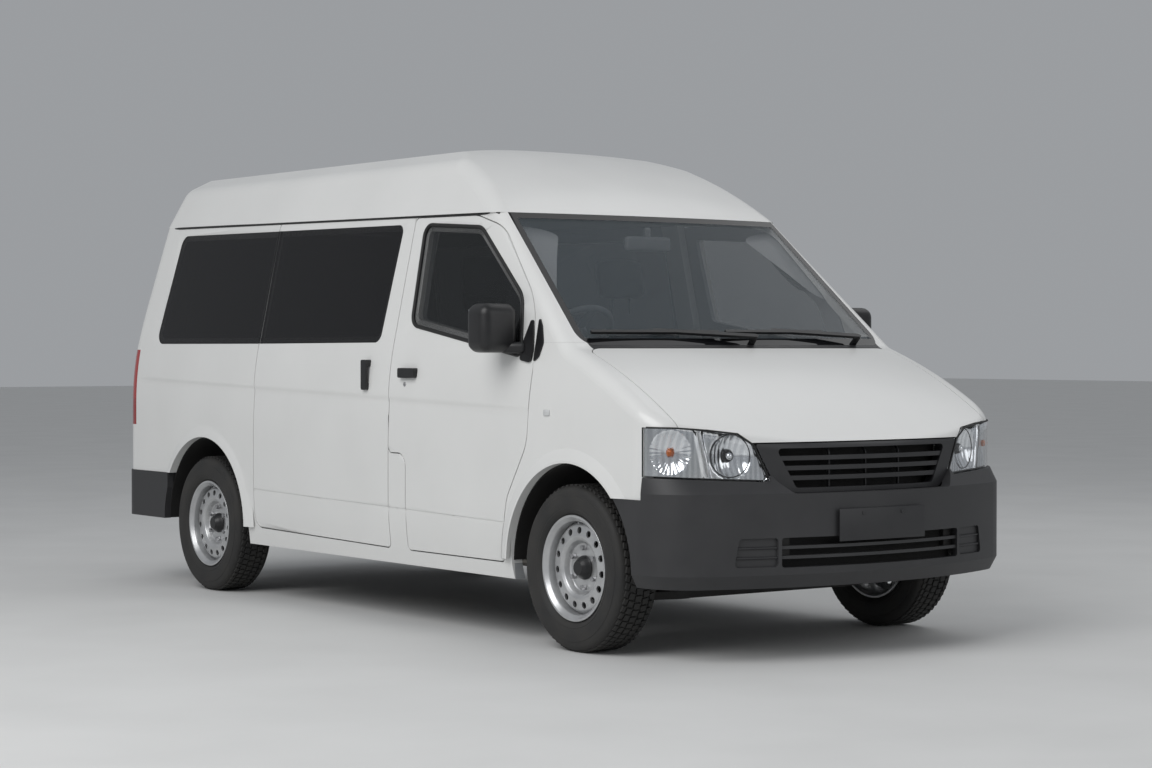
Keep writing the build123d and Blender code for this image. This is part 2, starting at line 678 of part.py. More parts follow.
def roof_volume(d):
    face, bends = roof_section()
    face = fillet([v for v in bends if abs(abs(v.X) - ROOF_SIDE[0]) < 1], ROOF_SHOULDER_R)
    form = along_y(inset(face, d), 0, TAIL_Y + 300)
    rise = ROOF_TOP + 10 - ROOF_FRONT[1]
    run = ROOF_FRONT_TOP_Y - ROOF_FRONT[0]
    r = (run * run + rise * rise) / 2 / rise
    cy, cz = ROOF_FRONT_TOP_Y, ROOF_TOP + 10 - r
    a0 = atan2(ROOF_FRONT[1] - cz, ROOF_FRONT[0] - cy)
    am = (a0 + radians(90)) / 2
    mid = (cy + r * cos(am), cz + r * sin(am))
    slope = tan(a0 - radians(90))
    low = (ROOF_FRONT[0] - 150, ROOF_FRONT[1] - 150 * slope)
    edges = [
        Line(bow(*low), bow(*ROOF_FRONT)),
        ThreePointArc(bow(*ROOF_FRONT), bow(*mid), bow(cy, cz + r)),
        Line(bow(cy, cz + r), bow(BOW_AXIS_Y, cz + r)),
        Line(bow(BOW_AXIS_Y, cz + r), bow(BOW_AXIS_Y, low[1])),
        Line(bow(BOW_AXIS_Y, low[1]), bow(*low)),
    ]
    turned = revolve(Plane.XZ * inset(make_face(edges), d), Axis.Z, 360)
    form = form & (Pos(0, BOW_AXIS_Y, 0) * turned)
    tail = tail_face(ROOF_TOP + 200)
    form = biggest(form & along_x(inset(tail, d), -1200, 1200))
    return form


roof_outer = roof_volume(0)
tail_edges = []
for e in roof_outer.edges():
    c = e @ 0.5
    if c.Y > TAIL_Y - 200 and c.Z > 1710:
        tail_edges.append(e)
roof_outer = roof_outer.fillet(ROOF_EDGE_R, tail_edges)
brow_edges = {}
for f in roof_outer.faces():
    if f.geom_type in (GeomType.CONE, GeomType.TORUS) and f.center().Y < TAIL_Y / 2:
        for e in f.edges():
            brow_edges.setdefault(tuple(round(v, 1) for v in e @ 0.5), []).append(e)
brow = [es[0] for k, es in brow_edges.items() if len(es) == 1 and k[2] > 1710]
roof_outer = roof_outer.fillet(ROOF_BROW_R, brow)
high_roof = biggest(roof_outer - roof_volume(ROOF_WALL) - under_drip(0))

# Hinge pins of the doors, hood and tailgate lie in their shut gaps. The door pins lean in with the skin.
PIN_R = SHUT_GAP / 2 - SEAT_GAP
DOOR_HINGE_Y = front_door_face.bounding_box().min.X - SHUT_GAP / 2
DOOR_HINGE_X = 875.0
DOOR_HINGE_LEAN = 0.0857
DOOR_PIN_HALF = 22.0
DOOR_HINGE_Z = 1117.0
HOOD_HINGE_Y = BOW_AXIS_Y - HOOD_REAR_RHO + SHUT_GAP / 2
HOOD_HINGE_Z = 1177.0
TAIL_HINGE_Y = TAIL_Y - 109.0
TAIL_HINGE_Z = TAILGATE_TOP_Z + SHUT_GAP / 2
pin_low = (DOOR_HINGE_X + DOOR_HINGE_LEAN * DOOR_PIN_HALF, DOOR_HINGE_Y, DOOR_HINGE_Z - DOOR_PIN_HALF)
pin_high = (DOOR_HINGE_X - DOOR_HINGE_LEAN * DOOR_PIN_HALF, DOOR_HINGE_Y, DOOR_HINGE_Z + DOOR_PIN_HALF)
fender_pin = strut(pin_low, pin_high, PIN_R)
hood_pin = rod_x(-26, 26, HOOD_HINGE_Y, HOOD_HINGE_Z, PIN_R)
tail_pin = both_sides(rod_x(280, 340, TAIL_HINGE_Y, TAIL_HINGE_Z, PIN_R))

# Wheels, drawn at the origin with the axle along x and outboard at +x
RIM_HALF = 86.0
# axial place, radius, corner radius
tyre_rows = [
    (-70, RIM_SEAT_R + SEAT_GAP, 0),
    (70, RIM_SEAT_R + SEAT_GAP, 0),
    (78, RIM_FLANGE_R + 1.5, 5),
    (TYRE_W / 2, RIM_FLANGE_R + 22, 26),
    (TYRE_W / 2 - 2, TYRE_R - 24, 20),
    (TYRE_W / 2 - 22, TYRE_R, 12),
    (-TYRE_W / 2 + 22, TYRE_R, 12),
    (-TYRE_W / 2 + 2, TYRE_R - 24, 20),
    (-TYRE_W / 2, RIM_FLANGE_R + 22, 26),
    (-78, RIM_FLANGE_R + 1.5, 5),
]
tyre = revolve(rounded(tyre_rows), Axis.X, 360)
barrel_rows = [
    (RIM_HALF, RIM_FLANGE_R, 2),
    (RIM_HALF, RIM_FLANGE_R - 9, 3),
    (RIM_HALF - 16, RIM_SEAT_R - 8, 8),
    (-RIM_HALF + 16, RIM_SEAT_R - 8, 8),
    (-RIM_HALF, RIM_FLANGE_R - 9, 3),
    (-RIM_HALF, RIM_FLANGE_R, 2),
    (-RIM_HALF + 7, RIM_FLANGE_R, 2),
    (-RIM_HALF + 14, RIM_SEAT_R, 4),
    (RIM_HALF - 14, RIM_SEAT_R, 4),
    (RIM_HALF - 7, RIM_FLANGE_R, 2),
]
disc_rows = [
    (14, RIM_SEAT_R - 5, 0),
    (26, RIM_SEAT_R - 5, 0),
    (52, VENT_PITCH_R + 21, 12),
    (58, VENT_PITCH_R - 25, 12),
    (50, 108, 8),
    (26, 96, 10),
    (26, SPINDLE_BORE_R, 0),
    (17, SPINDLE_BORE_R, 0),
    (17, 101, 12),
    (42, 114, 6),
    (50, VENT_PITCH_R - 24, 8),
    (44, VENT_PITCH_R + 17, 10),
]
rim = revolve(rounded(barrel_rows), Axis.X, 360) + revolve(rounded(disc_rows), Axis.X, 360)
for i in range(VENT_COUNT):
    rim = rim - Rot(i * 360 / VENT_COUNT, 0, 0) * rod_x(20, 90, 0, VENT_PITCH_R, VENT_R)
HUB_CAP_R = 44.0
hub_cap = revolve(rounded([(26, 0, 0), (26, HUB_CAP_R, 0), (44, HUB_CAP_R - 4, 5), (62, 24, 8),
                           (62, 0, 0)]), Axis.X, 360)
hub_cap = hub_cap - rod_x(0, 40, 0, 0, SPINDLE_BORE_R)
rim = biggest(rim + hub_cap)

SPINDLE_R = SPINDLE_BORE_R - SEAT_GAP
SPINDLE_END_X = WHEEL_X + 36
PIVOT_R = 14.0
ARM_LOW = (190.0, 222.0)
ARM_HIGH = (442.0, 468.0)
DISC_R = 135.0
knuckle = rod_x(KINGPIN_X - 15, SPINDLE_END_X, 0, AXLE_Z, SPINDLE_R)
knuckle = knuckle + block(KINGPIN_X - 20, KINGPIN_X + 20, -38, 38, ARM_LOW[1] + 3, ARM_HIGH[0] - 3)
knuckle = knuckle + rod_z(KINGPIN_X, 0, ARM_LOW[0], ARM_HIGH[1], PIVOT_R)
knuckle = biggest(knuckle + rod_x(KINGPIN_X + 32, KINGPIN_X + 52, 0, AXLE_Z, DISC_R))
knuckle = biggest(knuckle + rod_x(KINGPIN_X, KINGPIN_X + 40, 0, AXLE_Z, 60))

# Front suspension: a cross-member with two wishbones a side
ARM_END_X = KINGPIN_X + 21
arm_plan = rounded([(ARM_END_X, -28, 22), (ARM_END_X, 28, 22), (440, 130, 0), (380, 130, 0),
                    (380, -110, 0), (440, -110, 0)])
RAIL_OUT = RAIL_X + RAIL_W / 2
RAIL_IN = RAIL_X - RAIL_W / 2
arms = along_z(arm_plan, ARM_LOW[0], ARM_LOW[1])
top_arm = rounded([(ARM_END_X, -26, 22), (ARM_END_X, 26, 22), (RAIL_OUT + SEAT_GAP, 90, 0),
                   (RAIL_OUT + SEAT_GAP, -80, 0)])
arms = arms + along_z(top_arm, ARM_HIGH[0], ARM_HIGH[1])
arms = arms - rod_z(KINGPIN_X, 0, 100, 600, PIVOT_R + SEAT_GAP)
RAIL_LOW = FLOOR_Z - RAIL_H
member = block(-RAIL_OUT, RAIL_OUT, -100, 120, ARM_LOW[0], 262)
posts = both_sides(block(RAIL_IN, RAIL_OUT, -60, 80, 262, RAIL_LOW - SEAT_GAP))
front_suspension = both_sides(arms) + member + posts

# Rear axle and its leaf springs
DRUM_R = 135.0
rear_axle = rod_x(-700, 700, WHEELBASE, AXLE_Z, 36)
rear_axle = rear_axle + Pos(0, WHEELBASE, AXLE_Z) * Sphere(125)
rear_axle = rear_axle + rod_y(0, WHEELBASE - 190, WHEELBASE, AXLE_Z, 55)
rear_axle = rear_axle + both_sides(rod_x(690, 735, WHEELBASE, AXLE_Z, DRUM_R))
rear_axle = biggest(rear_axle + both_sides(rod_x(700, SPINDLE_END_X, WHEELBASE, AXLE_Z, SPINDLE_R)))
SPRING_X = (500.0, 560.0)
SPRING_T = 26.0
seat_z = AXLE_Z + 36 + SEAT_GAP
spring_top = [(WHEELBASE - 560, seat_z + 40), (WHEELBASE, seat_z), (WHEELBASE + 600, seat_z + 46)]
low_arc = ThreePointArc(*spring_top)
high_arc = ThreePointArc(*[(y, z + SPRING_T) for y, z in spring_top])
leaf = make_face([low_arc, high_arc, Line(low_arc @ 0, high_arc @ 0), Line(low_arc @ 1, high_arc @ 1)])
springs = along_x(leaf, *SPRING_X)
for y, z in (spring_top[0], spring_top[2]):
    hanger = block(RAIL_OUT + SEAT_GAP, SPRING_X[1] + 8, y - 28, y + 28, z - 30, FLOOR_Z - 6)
    springs = springs + hanger
leaf_springs = both_sides(biggest(springs))

# Frame rails with cross-members, trimmed to seat against the bumpers
rails = both_sides(block(RAIL_IN, RAIL_OUT, -FRONT_OVERHANG, TAIL_Y - 20, RAIL_LOW, FLOOR_Z))
rails = rails & bumper_volume(BUMPER_WALL + SEAT_GAP).fuse(block(-900, 900, -500, 5000, 200, 900))
# cross-member y from, y to
member_rows = [(-620, -545), (380, 440), (2250, 2310), (TAIL_Y - 100, TAIL_Y - 20)]
for y0, y1 in member_rows:
    rails = rails + block(-RAIL_IN, RAIL_IN, y0, y1, RAIL_LOW + 20, FLOOR_Z)
TOW_EYE_R = 18.0
TOW_EYE = (250.0, TAIL_Y - 25, 372.0)
eye = block(TOW_EYE[0] - 8, TOW_EYE[0] + 8, TOW_EYE[1] - 45, TOW_EYE[1] + 5, TOW_EYE[2] - 40, RAIL_LOW + 20)
eye = eye - rod_x(TOW_EYE[0] - 20, TOW_EYE[0] + 20, TOW_EYE[1] - 20, TOW_EYE[2], TOW_EYE_R)
rails = rails + eye
JACK_R = 40.0
jack_rows = [620.0, 2420.0]
for y in jack_rows:
    rails = rails + both_sides(rod_z(RAIL_X, y, RAIL_LOW - 30, RAIL_LOW, JACK_R))
chassis_frame = biggest(rails)

# Floor, bulkhead, wheel housings
ENGINE = (-280.0, 280.0, 780.0, 1260.0, 300.0, 800.0)
floor = block(-900, 900, FLOOR_FRONT_Y, TAIL_Y, FLOOR_Z, FLOOR_Z + FLOOR_T)
bulkhead = block(-900, 900, FLOOR_FRONT_Y, FLOOR_FRONT_Y + 12, FLOOR_Z, 1100)
DOOR_CLEAR_X = HALF_WIDTH - WALL - 14
beside_door = both_sides(block(DOOR_CLEAR_X, 1200, 0, DOOR_REAR_Y + 10, 0, 2000))
floor_pan = (floor + bulkhead) & cabin
floor_pan = floor_pan - beside_door - arch_cut
floor_pan = floor_pan - block(ENGINE[0] - 30, ENGINE[1] + 30, ENGINE[2] - 20, ENGINE[3] + 20, 0, 800)
TAIL_INNER_Y = TAIL_Y - WALL - SHUT_GAP - 3
floor_pan = floor_pan - block(-1200, 1200, TAIL_INNER_Y, TAIL_Y + 100, 0, 2000)
floor_pan = biggest(floor_pan)


def liner(axle_y, r, x0):
    ring = rod_x(x0, HALF_WIDTH - 25, axle_y, AXLE_Z, r - SEAT_GAP) - rod_x(0, 1000, axle_y, AXLE_Z, r - 6)
    return ring & block(0, 1200, axle_y - 600, axle_y + 600, AXLE_Z + 5, 1000)


arch_liners = both_sides(liner(0, FRONT_ARCH_R, 505)) + both_sides(liner(WHEELBASE, REAR_ARCH_R, 600))

# Engine, driveline, tank, exhaust, radiator
engine = block(*ENGINE)
engine = engine.fillet(25, engine.edges().filter_by(Axis.Z))
mounts = both_sides(block(ENGINE[1], RAIL_IN - SEAT_GAP, 960, 1040, 420, 480))
engine_block = biggest(engine + mounts)
GEARBOX_END_Y = 1720.0
driveline = rod_y(0, ENGINE[3] + SEAT_GAP, ENGINE[3] + 160, 395, 100)
driveline = driveline + rod_y(0, ENGINE[3] + 100, GEARBOX_END_Y, 385, 72)
pinion_y = WHEELBASE - 190 - SEAT_GAP
driveline = biggest(driveline + rod_y(0, GEARBOX_END_Y - 20, pinion_y, AXLE_Z + 25, 30))
tank = block(90, 385, 1440, 2150, 275, FLOOR_Z - SEAT_GAP)
fuel_tank = tank.fillet(45, tank.edges().filter_by(Axis.Y))
PIPE_X = -245.0
PIPE_Z = 240.0
PIPE_R = 24.0
exhaust = rod_y(PIPE_X, 1000, TAIL_Y - 60, PIPE_Z, PIPE_R)
exhaust = exhaust + rod_z(PIPE_X, 1000, PIPE_Z, ENGINE[4] - SEAT_GAP, PIPE_R) + Pos(PIPE_X, 1000, PIPE_Z) * Sphere(PIPE_R)
exhaust = exhaust + rod_y(PIPE_X, 1650, 2200, PIPE_Z + 20, 82)
for y in (2360, TAIL_Y - 150):
    exhaust = exhaust + rod_z(PIPE_X, y, PIPE_Z, FLOOR_Z - SEAT_GAP, 7)
exhaust = biggest(exhaust)
radiator = block(-350, 350, -545 + SEAT_GAP, -500, 330, 780)

# Cabin: engine cover, dash, seats, steering wheel
COVER = (-700.0, 700.0, 745.0, 1310.0, FLOOR_Z + FLOOR_T + SEAT_GAP, 860.0)
cover = block(*COVER)
cover = cover.fillet(40, cover.edges().filter_by(Axis.Z))
engine_cover = biggest(cover - block(COVER[0] + 30, COVER[1] - 30, COVER[2] + 30, COVER[3] - 30, 0, COVER[5] - 28))
dash_rows = [
    (80, 1100 + SEAT_GAP, 0),
    (80, 1122, 15),
    (300, 1166, 120),
    (520, 1150, 50),
    (602, 1075, 40),
    (585, 930, 40),
    (490, 865, 25),
    (FLOOR_FRONT_Y + 12 + SEAT_GAP, 865, 0),
    (FLOOR_FRONT_Y + 12 + SEAT_GAP, 1100 + SEAT_GAP, 0),
]
dash = along_x(rounded(dash_rows), -770, 770)
tilt = Rot(90 - STEER_TILT, 0, 0)
steer_at = Pos(STEER_WHEEL_X, *STEER_WHEEL_YZ) * Rot(-(90 - STEER_TILT), 0, 0)
COLUMN_R = 22.0
COLUMN_LEN = 235.0
dash = dash - steer_at * Pos(0, 0, -COLUMN_LEN / 2 - 10) * Cylinder(COLUMN_R + SEAT_GAP, COLUMN_LEN + 20)
dashboard = biggest(dash & cabin)
wheel = Torus(STEER_WHEEL_R - 14, 14) + Pos(0, 0, -8) * Cylinder(58, 34)
for a in (-90, 25, 155):
    spoke = Pos((STEER_WHEEL_R - 14) / 2, 0, -6) * Box(STEER_WHEEL_R - 14, 34, 14)
    wheel = wheel + Rot(0, 0, a) * spoke
wheel = wheel + Pos(0, 0, -COLUMN_LEN / 2) * Cylinder(COLUMN_R, COLUMN_LEN)
steering_wheel = biggest(steer_at * wheel)


def seat(x0, x1, y, base_z, cushion_z, back_z, rest_z, heads):
    """Cushion, raked back and head rests of one seat or bench."""
    cushion = rounded([(y, base_z, 25), (y - 15, cushion_z, 60), (y + 470, cushion_z - 25, 0), (y + 480, base_z, 20)])
    back = rounded([(y + 410, cushion_z - 60, 0), (y + 545, cushion_z - 60, 50), (y + 640, back_z, 40),
                    (y + 540, back_z, 40)])
    form = along_x(cushion, x0, x1) + along_x(back, x0 + 15, x1 - 15)
    for x in heads:
        rest = rounded([(y + 540, rest_z - 195, 30), (y + 630, rest_z - 195, 30), (y + 650, rest_z, 35), (y + 565, rest_z, 35)])
        form = form + along_x(rest, x - 125, x + 125)
        for s in (-1, 1):
            form = form + rod_z(x + s * 50, y + 592, back_z - 30, rest_z - 150, 7)
    return form


front_seats = both_sides(biggest(seat(SEAT_X - 240, SEAT_X + 240, 745, COVER[5] + SEAT_GAP, 1000, 1390, 1600, [SEAT_X])))
BENCH_HALF = 590.0
rear_seats = Part()
# bench front y
for y in (1900, 2760):
    bench = seat(-BENCH_HALF, BENCH_HALF, y, 850, 985, 1350, 1545, [-390, 0, 390])
    for x in (-480, 480):
        bench = bench + block(x - 25, x + 25, y + 60, y + 110, FLOOR_Z + FLOOR_T + SEAT_GAP, 860)
        bench = bench + block(x - 25, x + 25, y + 380, y + 430, FLOOR_Z + FLOOR_T + SEAT_GAP, 860)
    rear_seats = rear_seats + biggest(bench)

# Post between the front and sliding doors, inside both
POST_Y = (1275.0, 1395.0)
POST_T = 38.0
post_inset = WALL + SHUT_GAP + 2
post = block(0, 1200, POST_Y[0], POST_Y[1], FLOOR_Z + FLOOR_T + SEAT_GAP, drip_z(POST_Y[0]) - 4)
post = (post & body_volume(post_inset)) - body_volume(post_inset + POST_T)
door_post = biggest(post)
door_pillars = both_sides(screen_pillar) + both_sides(door_post)

# Mirror on a sail plate and the outer handle, on the front doors
SAIL_PROUD = 9.0
skin = body_volume(-SAIL_PROUD)
sail_rows = [(270, 1124, 18), (269, 1190, 60), (306, 1318, 10), (352, 1190, 8), (350, 1136, 12)]
sail = biggest((along_x(rounded(sail_rows), 700, 1000) & skin) - outer)
MIRROR = (912.0, 1072.0, 375.0, 500.0, 1165.0, 1362.0)
head = block(*MIRROR)
head = head.fillet(38, head.edges().filter_by(Axis.Y))
head = head.fillet(24, head.edges().group_by(Axis.Y)[0])
arm_a = (858.0, 335.0, 1176.0)
arm_b = (930.0, 425.0, 1190.0)


mirror_left = biggest(sail + head + (strut(arm_a, arm_b, 20) - outer))
FRONT_HANDLE = (1112.0, 1238.0, 1056.0, 1098.0)
SLIDE_HANDLE = (DOOR_REAR_Y + 165.0, DOOR_REAR_Y + 207.0, 1000.0, 1132.0)
HANDLE_PROUD = 26.0


def handle(y0, y1, z0, z1):
    """A grip bar whose two ends stand on the door skin."""
    bar = block(HALF_WIDTH - 60, HALF_WIDTH + HANDLE_PROUD - 14, y0, y1, z0, z1)
    bar = bar.fillet(9, bar.edges().filter_by(Axis.X))
    long_y = y1 - y0 > z1 - z0
    if long_y:
        gap = block(0, HALF_WIDTH, y0 + 28, y1 - 28, z0 - 5, z1 + 5)
    else:
        gap = block(0, HALF_WIDTH, y0 - 5, y1 + 5, z0 + 28, z1 - 28)
    return biggest(bar - outer - gap)


door_handle = handle(*FRONT_HANDLE)
sliding_handle = handle(*SLIDE_HANDLE)


# Wipers parked along the foot of the screen
def on_screen(x, z, lift):
    y = COWL[0] + (z - COWL[1]) / tan(radians(SCREEN_SLOPE))
    rho = BOW_AXIS_Y - y + lift * sin(radians(SCREEN_SLOPE))
    return (x, BOW_AXIS_Y - sqrt(rho * rho - x * x), z + lift * cos(radians(SCREEN_SLOPE)))


WIPER_T = 12.0
WIPER_LIFT = 8.0
PIVOT_FOOT_R = 13.0
# blade middle x and z, blade half length, pivot along and below the blade
wiper_rows = [
    (-440, 1238, 300, 470, -26),
    (165, 1240, 270, 470, -26),
]
wipers = Part()
for x, z, half, along, below in wiper_rows:
    at = Vector(*on_screen(x, z, WIPER_LIFT))
    bearing = asin(x / (BOW_AXIS_Y - COWL[0]))
    slope = radians(SCREEN_SLOPE)
    normal = Vector(sin(bearing) * sin(slope), -cos(bearing) * sin(slope), cos(slope))
    plane = Plane(origin=at, x_dir=(cos(bearing), sin(bearing), 0), z_dir=normal)
    outline = rounded([(-half, -9, 4), (half, -9, 4), (half, 6, 4), (-half, 6, 4)])
    outline = outline + rounded([(-30, 0, 3), (along, below - 10, 6), (along + 14, below, 6), (along, below + 9, 6), (0, 16, 6)])
    blade = extrude(plane * outline, WIPER_T)
    reach = along * along / 2 / (BOW_AXIS_Y - COWL[0]) + WIPER_LIFT + GLASS_OUT
    foot = plane * Pos(along - 4, below, WIPER_T / 2 - (reach + WIPER_T / 2 - 10.7) / 2) * Cylinder(
        PIVOT_FOOT_R, reach + WIPER_T / 2 - 10.7)
    wipers = wipers + biggest(blade + foot)

# Hand-in: each node's solid at its place
SHIFT = Pos(0, FRONT_OVERHANG - LENGTH / 2, 0)
nodes = {
    "body_side_left": body_side_left,
    "body_side_right": other_side(body_side_left),
    "door_pillars": door_pillars,
    "front_fenders": both_sides(fender) + both_sides(fender_pin),
    "high_roof": high_roof + tail_pin,
    "cowl_panel": cowl_panel + hood_pin,
    "windscreen": windscreen,
    "sliding_doors": both_sides(sliding_door),
    "sliding_door_glass": both_sides(sliding_glass),
    "sliding_door_handles": both_sides(sliding_handle),
    "quarter_glass": both_sides(quarter_glass),
    "front_bumper": front_bumper,
    "grille": grille,
    "headlamp_lenses": both_sides(headlamp_lens),
    "headlamp_housings": both_sides(headlamp_housing),
    "rear_bumper": rear_bumper,
    "tail_lamps": both_sides(tail_lamp),
    "wipers": wipers,
    "arch_liners": arch_liners,
    "floor_pan": floor_pan,
    "chassis_frame": chassis_frame,
    "front_suspension": front_suspension,
    "rear_axle": rear_axle,
    "leaf_springs": leaf_springs,
    "engine_block": engine_block,
    "driveline": driveline,
    "fuel_tank": fuel_tank,
    "exhaust": exhaust,
    "radiator": radiator,
    "engine_cover": engine_cover,
    "dashboard": dashboard,
    "front_seats": front_seats,
    "rear_seats": rear_seats,
    "hood": hood,
    "tailgate": tailgate,
    "tailgate_glass": tailgate_glass,
    "steering_wheel": steering_wheel,
}
for name, turn in (("left", lambda s: s), ("right", other_side)):
    nodes["front_door_" + name] = turn(front_door)
    nodes["front_door_glass_" + name] = turn(front_door_glass)
    nodes["mirror_" + name] = turn(mirror_left)
    nodes["door_handle_" + name] = turn(door_handle)
    nodes["knuckle_" + name] = turn(knuckle)
    for place, axle_y in (("front", 0.0), ("rear", WHEELBASE)):
        at = Pos(WHEEL_X, axle_y, AXLE_Z)
        nodes["tyre_" + place + "_" + name] = turn(at * tyre)
        nodes["wheel_" + place + "_" + name] = turn(at * rim)
for name, shape in nodes.items():
    export_step(SHIFT * shape, "parts/" + name + ".step")
print("hinges:", "door", DOOR_HINGE_X, DOOR_HINGE_Y, "hood", HOOD_HINGE_Y, HOOD_HINGE_Z,
      "tailgate", TAIL_HINGE_Y, TAIL_HINGE_Z)
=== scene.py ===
import bpy
import bmesh
import math
from mathutils import Matrix, Vector


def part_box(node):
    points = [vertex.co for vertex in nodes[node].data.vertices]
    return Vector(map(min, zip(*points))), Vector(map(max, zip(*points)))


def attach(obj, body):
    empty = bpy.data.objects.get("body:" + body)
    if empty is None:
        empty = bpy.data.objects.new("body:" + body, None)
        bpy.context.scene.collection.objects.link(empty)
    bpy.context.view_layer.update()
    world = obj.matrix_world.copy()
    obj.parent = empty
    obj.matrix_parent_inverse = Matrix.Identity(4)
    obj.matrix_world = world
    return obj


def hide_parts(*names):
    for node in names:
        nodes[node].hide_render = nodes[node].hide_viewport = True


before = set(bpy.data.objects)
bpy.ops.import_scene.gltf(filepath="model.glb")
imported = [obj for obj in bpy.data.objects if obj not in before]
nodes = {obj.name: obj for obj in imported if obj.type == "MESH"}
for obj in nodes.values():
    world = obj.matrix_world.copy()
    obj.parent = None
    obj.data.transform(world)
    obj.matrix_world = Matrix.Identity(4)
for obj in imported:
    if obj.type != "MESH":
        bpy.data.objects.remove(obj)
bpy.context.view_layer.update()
print("frame loaded:", len(nodes), "nodes")

# places shared by several pieces, metres; other y values are counted back from the front axle
van = {"frontAxleY": -1.555, "rearAxleY": 1.485, "axleZ": 0.327, "wheelX": 0.785, "halfWidth": 0.893,
       "noseR": 1.9}
bothSides = (("left", 1), ("right", -1))

# section of the side skin from the sill up: tuck, upright, bend, straight lean
sideSkin = {"tuckTop": 0.55, "tuckR": 1.6, "bendFoot": 0.9, "bendR": 1.5, "leanFoot": 1.2119,
            "leanX": 0.8602, "leanSlope": math.tan(math.radians(12))}


def fromAxle(y):
    return van["frontAxleY"] + y


# how far an arc falls away over a run
def arcDrop(run, radius):
    return radius * (1 - math.cos(math.asin(run / radius)))


# x of the outer side skin at a height
def skinX(z):
    if z < sideSkin["tuckTop"]:
        return van["halfWidth"] - arcDrop(sideSkin["tuckTop"] - z, sideSkin["tuckR"])
    if z < sideSkin["bendFoot"]:
        return van["halfWidth"]
    if z < sideSkin["leanFoot"]:
        return van["halfWidth"] - arcDrop(z - sideSkin["bendFoot"], sideSkin["bendR"])
    return sideSkin["leanX"] - (z - sideSkin["leanFoot"]) * sideSkin["leanSlope"]


# how far the bowed nose falls back at an x
def noseDrop(x):
    return van["noseR"] - math.sqrt(van["noseR"] ** 2 - x * x)


# materials

def newMaterial(name):
    material = bpy.data.materials.new(name)
    material.use_nodes = True
    tree = material.node_tree
    return material, tree, tree.nodes["Principled BSDF"]


def addNode(tree, kind, **values):
    node = tree.nodes.new(kind)
    for key, value in values.items():
        if key in node.inputs:
            node.inputs[key].default_value = value
        else:
            setattr(node, key, value)
    return node


# object coordinates, whole and then as x, y and z
def objectPlace(tree):
    where = addNode(tree, "ShaderNodeTexCoord").outputs["Object"]
    split = addNode(tree, "ShaderNodeSeparateXYZ")
    tree.links.new(where, split.inputs["Vector"])
    return where, split.outputs["X"], split.outputs["Y"], split.outputs["Z"]


def objectNoise(tree, scale, detail=4.0):
    where = addNode(tree, "ShaderNodeTexCoord")
    noise = addNode(tree, "ShaderNodeTexNoise", Scale=scale, Detail=detail, Roughness=0.5)
    tree.links.new(where.outputs["Object"], noise.inputs["Vector"])
    return noise.outputs["Fac"]


def objectWave(tree, where, direction, **values):
    wave = addNode(tree, "ShaderNodeTexWave", bands_direction=direction, **values)
    tree.links.new(where, wave.inputs["Vector"])
    return wave.outputs["Fac"]


def colourRamp(tree, source, low, high, lowColour, highColour):
    ramp = addNode(tree, "ShaderNodeValToRGB")
    ramp.color_ramp.elements[0].position = low
    ramp.color_ramp.elements[0].color = (*lowColour, 1)
    ramp.color_ramp.elements[1].position = high
    ramp.color_ramp.elements[1].color = (*highColour, 1)
    tree.links.new(source, ramp.inputs["Fac"])
    return ramp.outputs["Color"]


def bumpFrom(tree, shader, source, strength, distance):
    bump = addNode(tree, "ShaderNodeBump", Strength=strength, Distance=distance)
    tree.links.new(source, bump.inputs["Height"])
    tree.links.new(bump.outputs["Normal"], shader.inputs["Normal"])


def rangeTo(tree, source, low, high, fromLow=0.3, fromHigh=0.7):
    spread = addNode(tree, "ShaderNodeMapRange")
    spread.inputs["From Min"].default_value = fromLow
    spread.inputs["From Max"].default_value = fromHigh
    spread.inputs["To Min"].default_value = low
    spread.inputs["To Max"].default_value = high
    tree.links.new(source, spread.inputs["Value"])
    return spread.outputs["Result"]


def addMath(tree, operation, a, b=None):
    node = addNode(tree, "ShaderNodeMath", operation=operation)
    for index, value in enumerate((a, b)):
        if value is None:
            continue
        if isinstance(value, (int, float)):
            node.inputs[index].default_value = value
        else:
            tree.links.new(value, node.inputs[index])
    return node.outputs["Value"]


def mixColour(tree, factor, first, second):
    mix = addNode(tree, "ShaderNodeMix", data_type="RGBA")
    tree.links.new(factor, mix.inputs["Factor"])
    tree.links.new(first, mix.inputs[6])
    mix.inputs[7].default_value = second
    return mix.outputs[2]


# two close colours, roughness range, noise scale, then grain scale and depth, metal and coat
def plainFinish(name, low, high, rough, scale, grainScale=None, grain=0.0, metallic=0.0, coat=0.0):
    material, tree, shader = newMaterial(name)
    noise = objectNoise(tree, scale)
    tree.links.new(colourRamp(tree, noise, 0.3, 0.7, low, high), shader.inputs["Base Color"])
    tree.links.new(rangeTo(tree, noise, rough[0], rough[1]), shader.inputs["Roughness"])
    shader.inputs["Metallic"].default_value = metallic
    shader.inputs["Coat Weight"].default_value = coat
    if grainScale:
        bumpFrom(tree, shader, objectNoise(tree, grainScale, 6.0), grain, 0.001)
    return material


# white paint; doors and sides have a grey inner lining and a black post between the rear side panes
paint = {"low": (0.76, 0.76, 0.745), "high": (0.79, 0.79, 0.775), "lining": (0.36, 0.37, 0.38, 1),
         "skin": 0.030, "tailY": 3.80, "tailBend": 1.0, "tailLean": 0.24,
         "post": (0.012, 0.012, 0.013, 1), "postY": 2.540, "postHalf": 0.0145, "postFoot": 1.2035,
         "postHead": 1.7365}


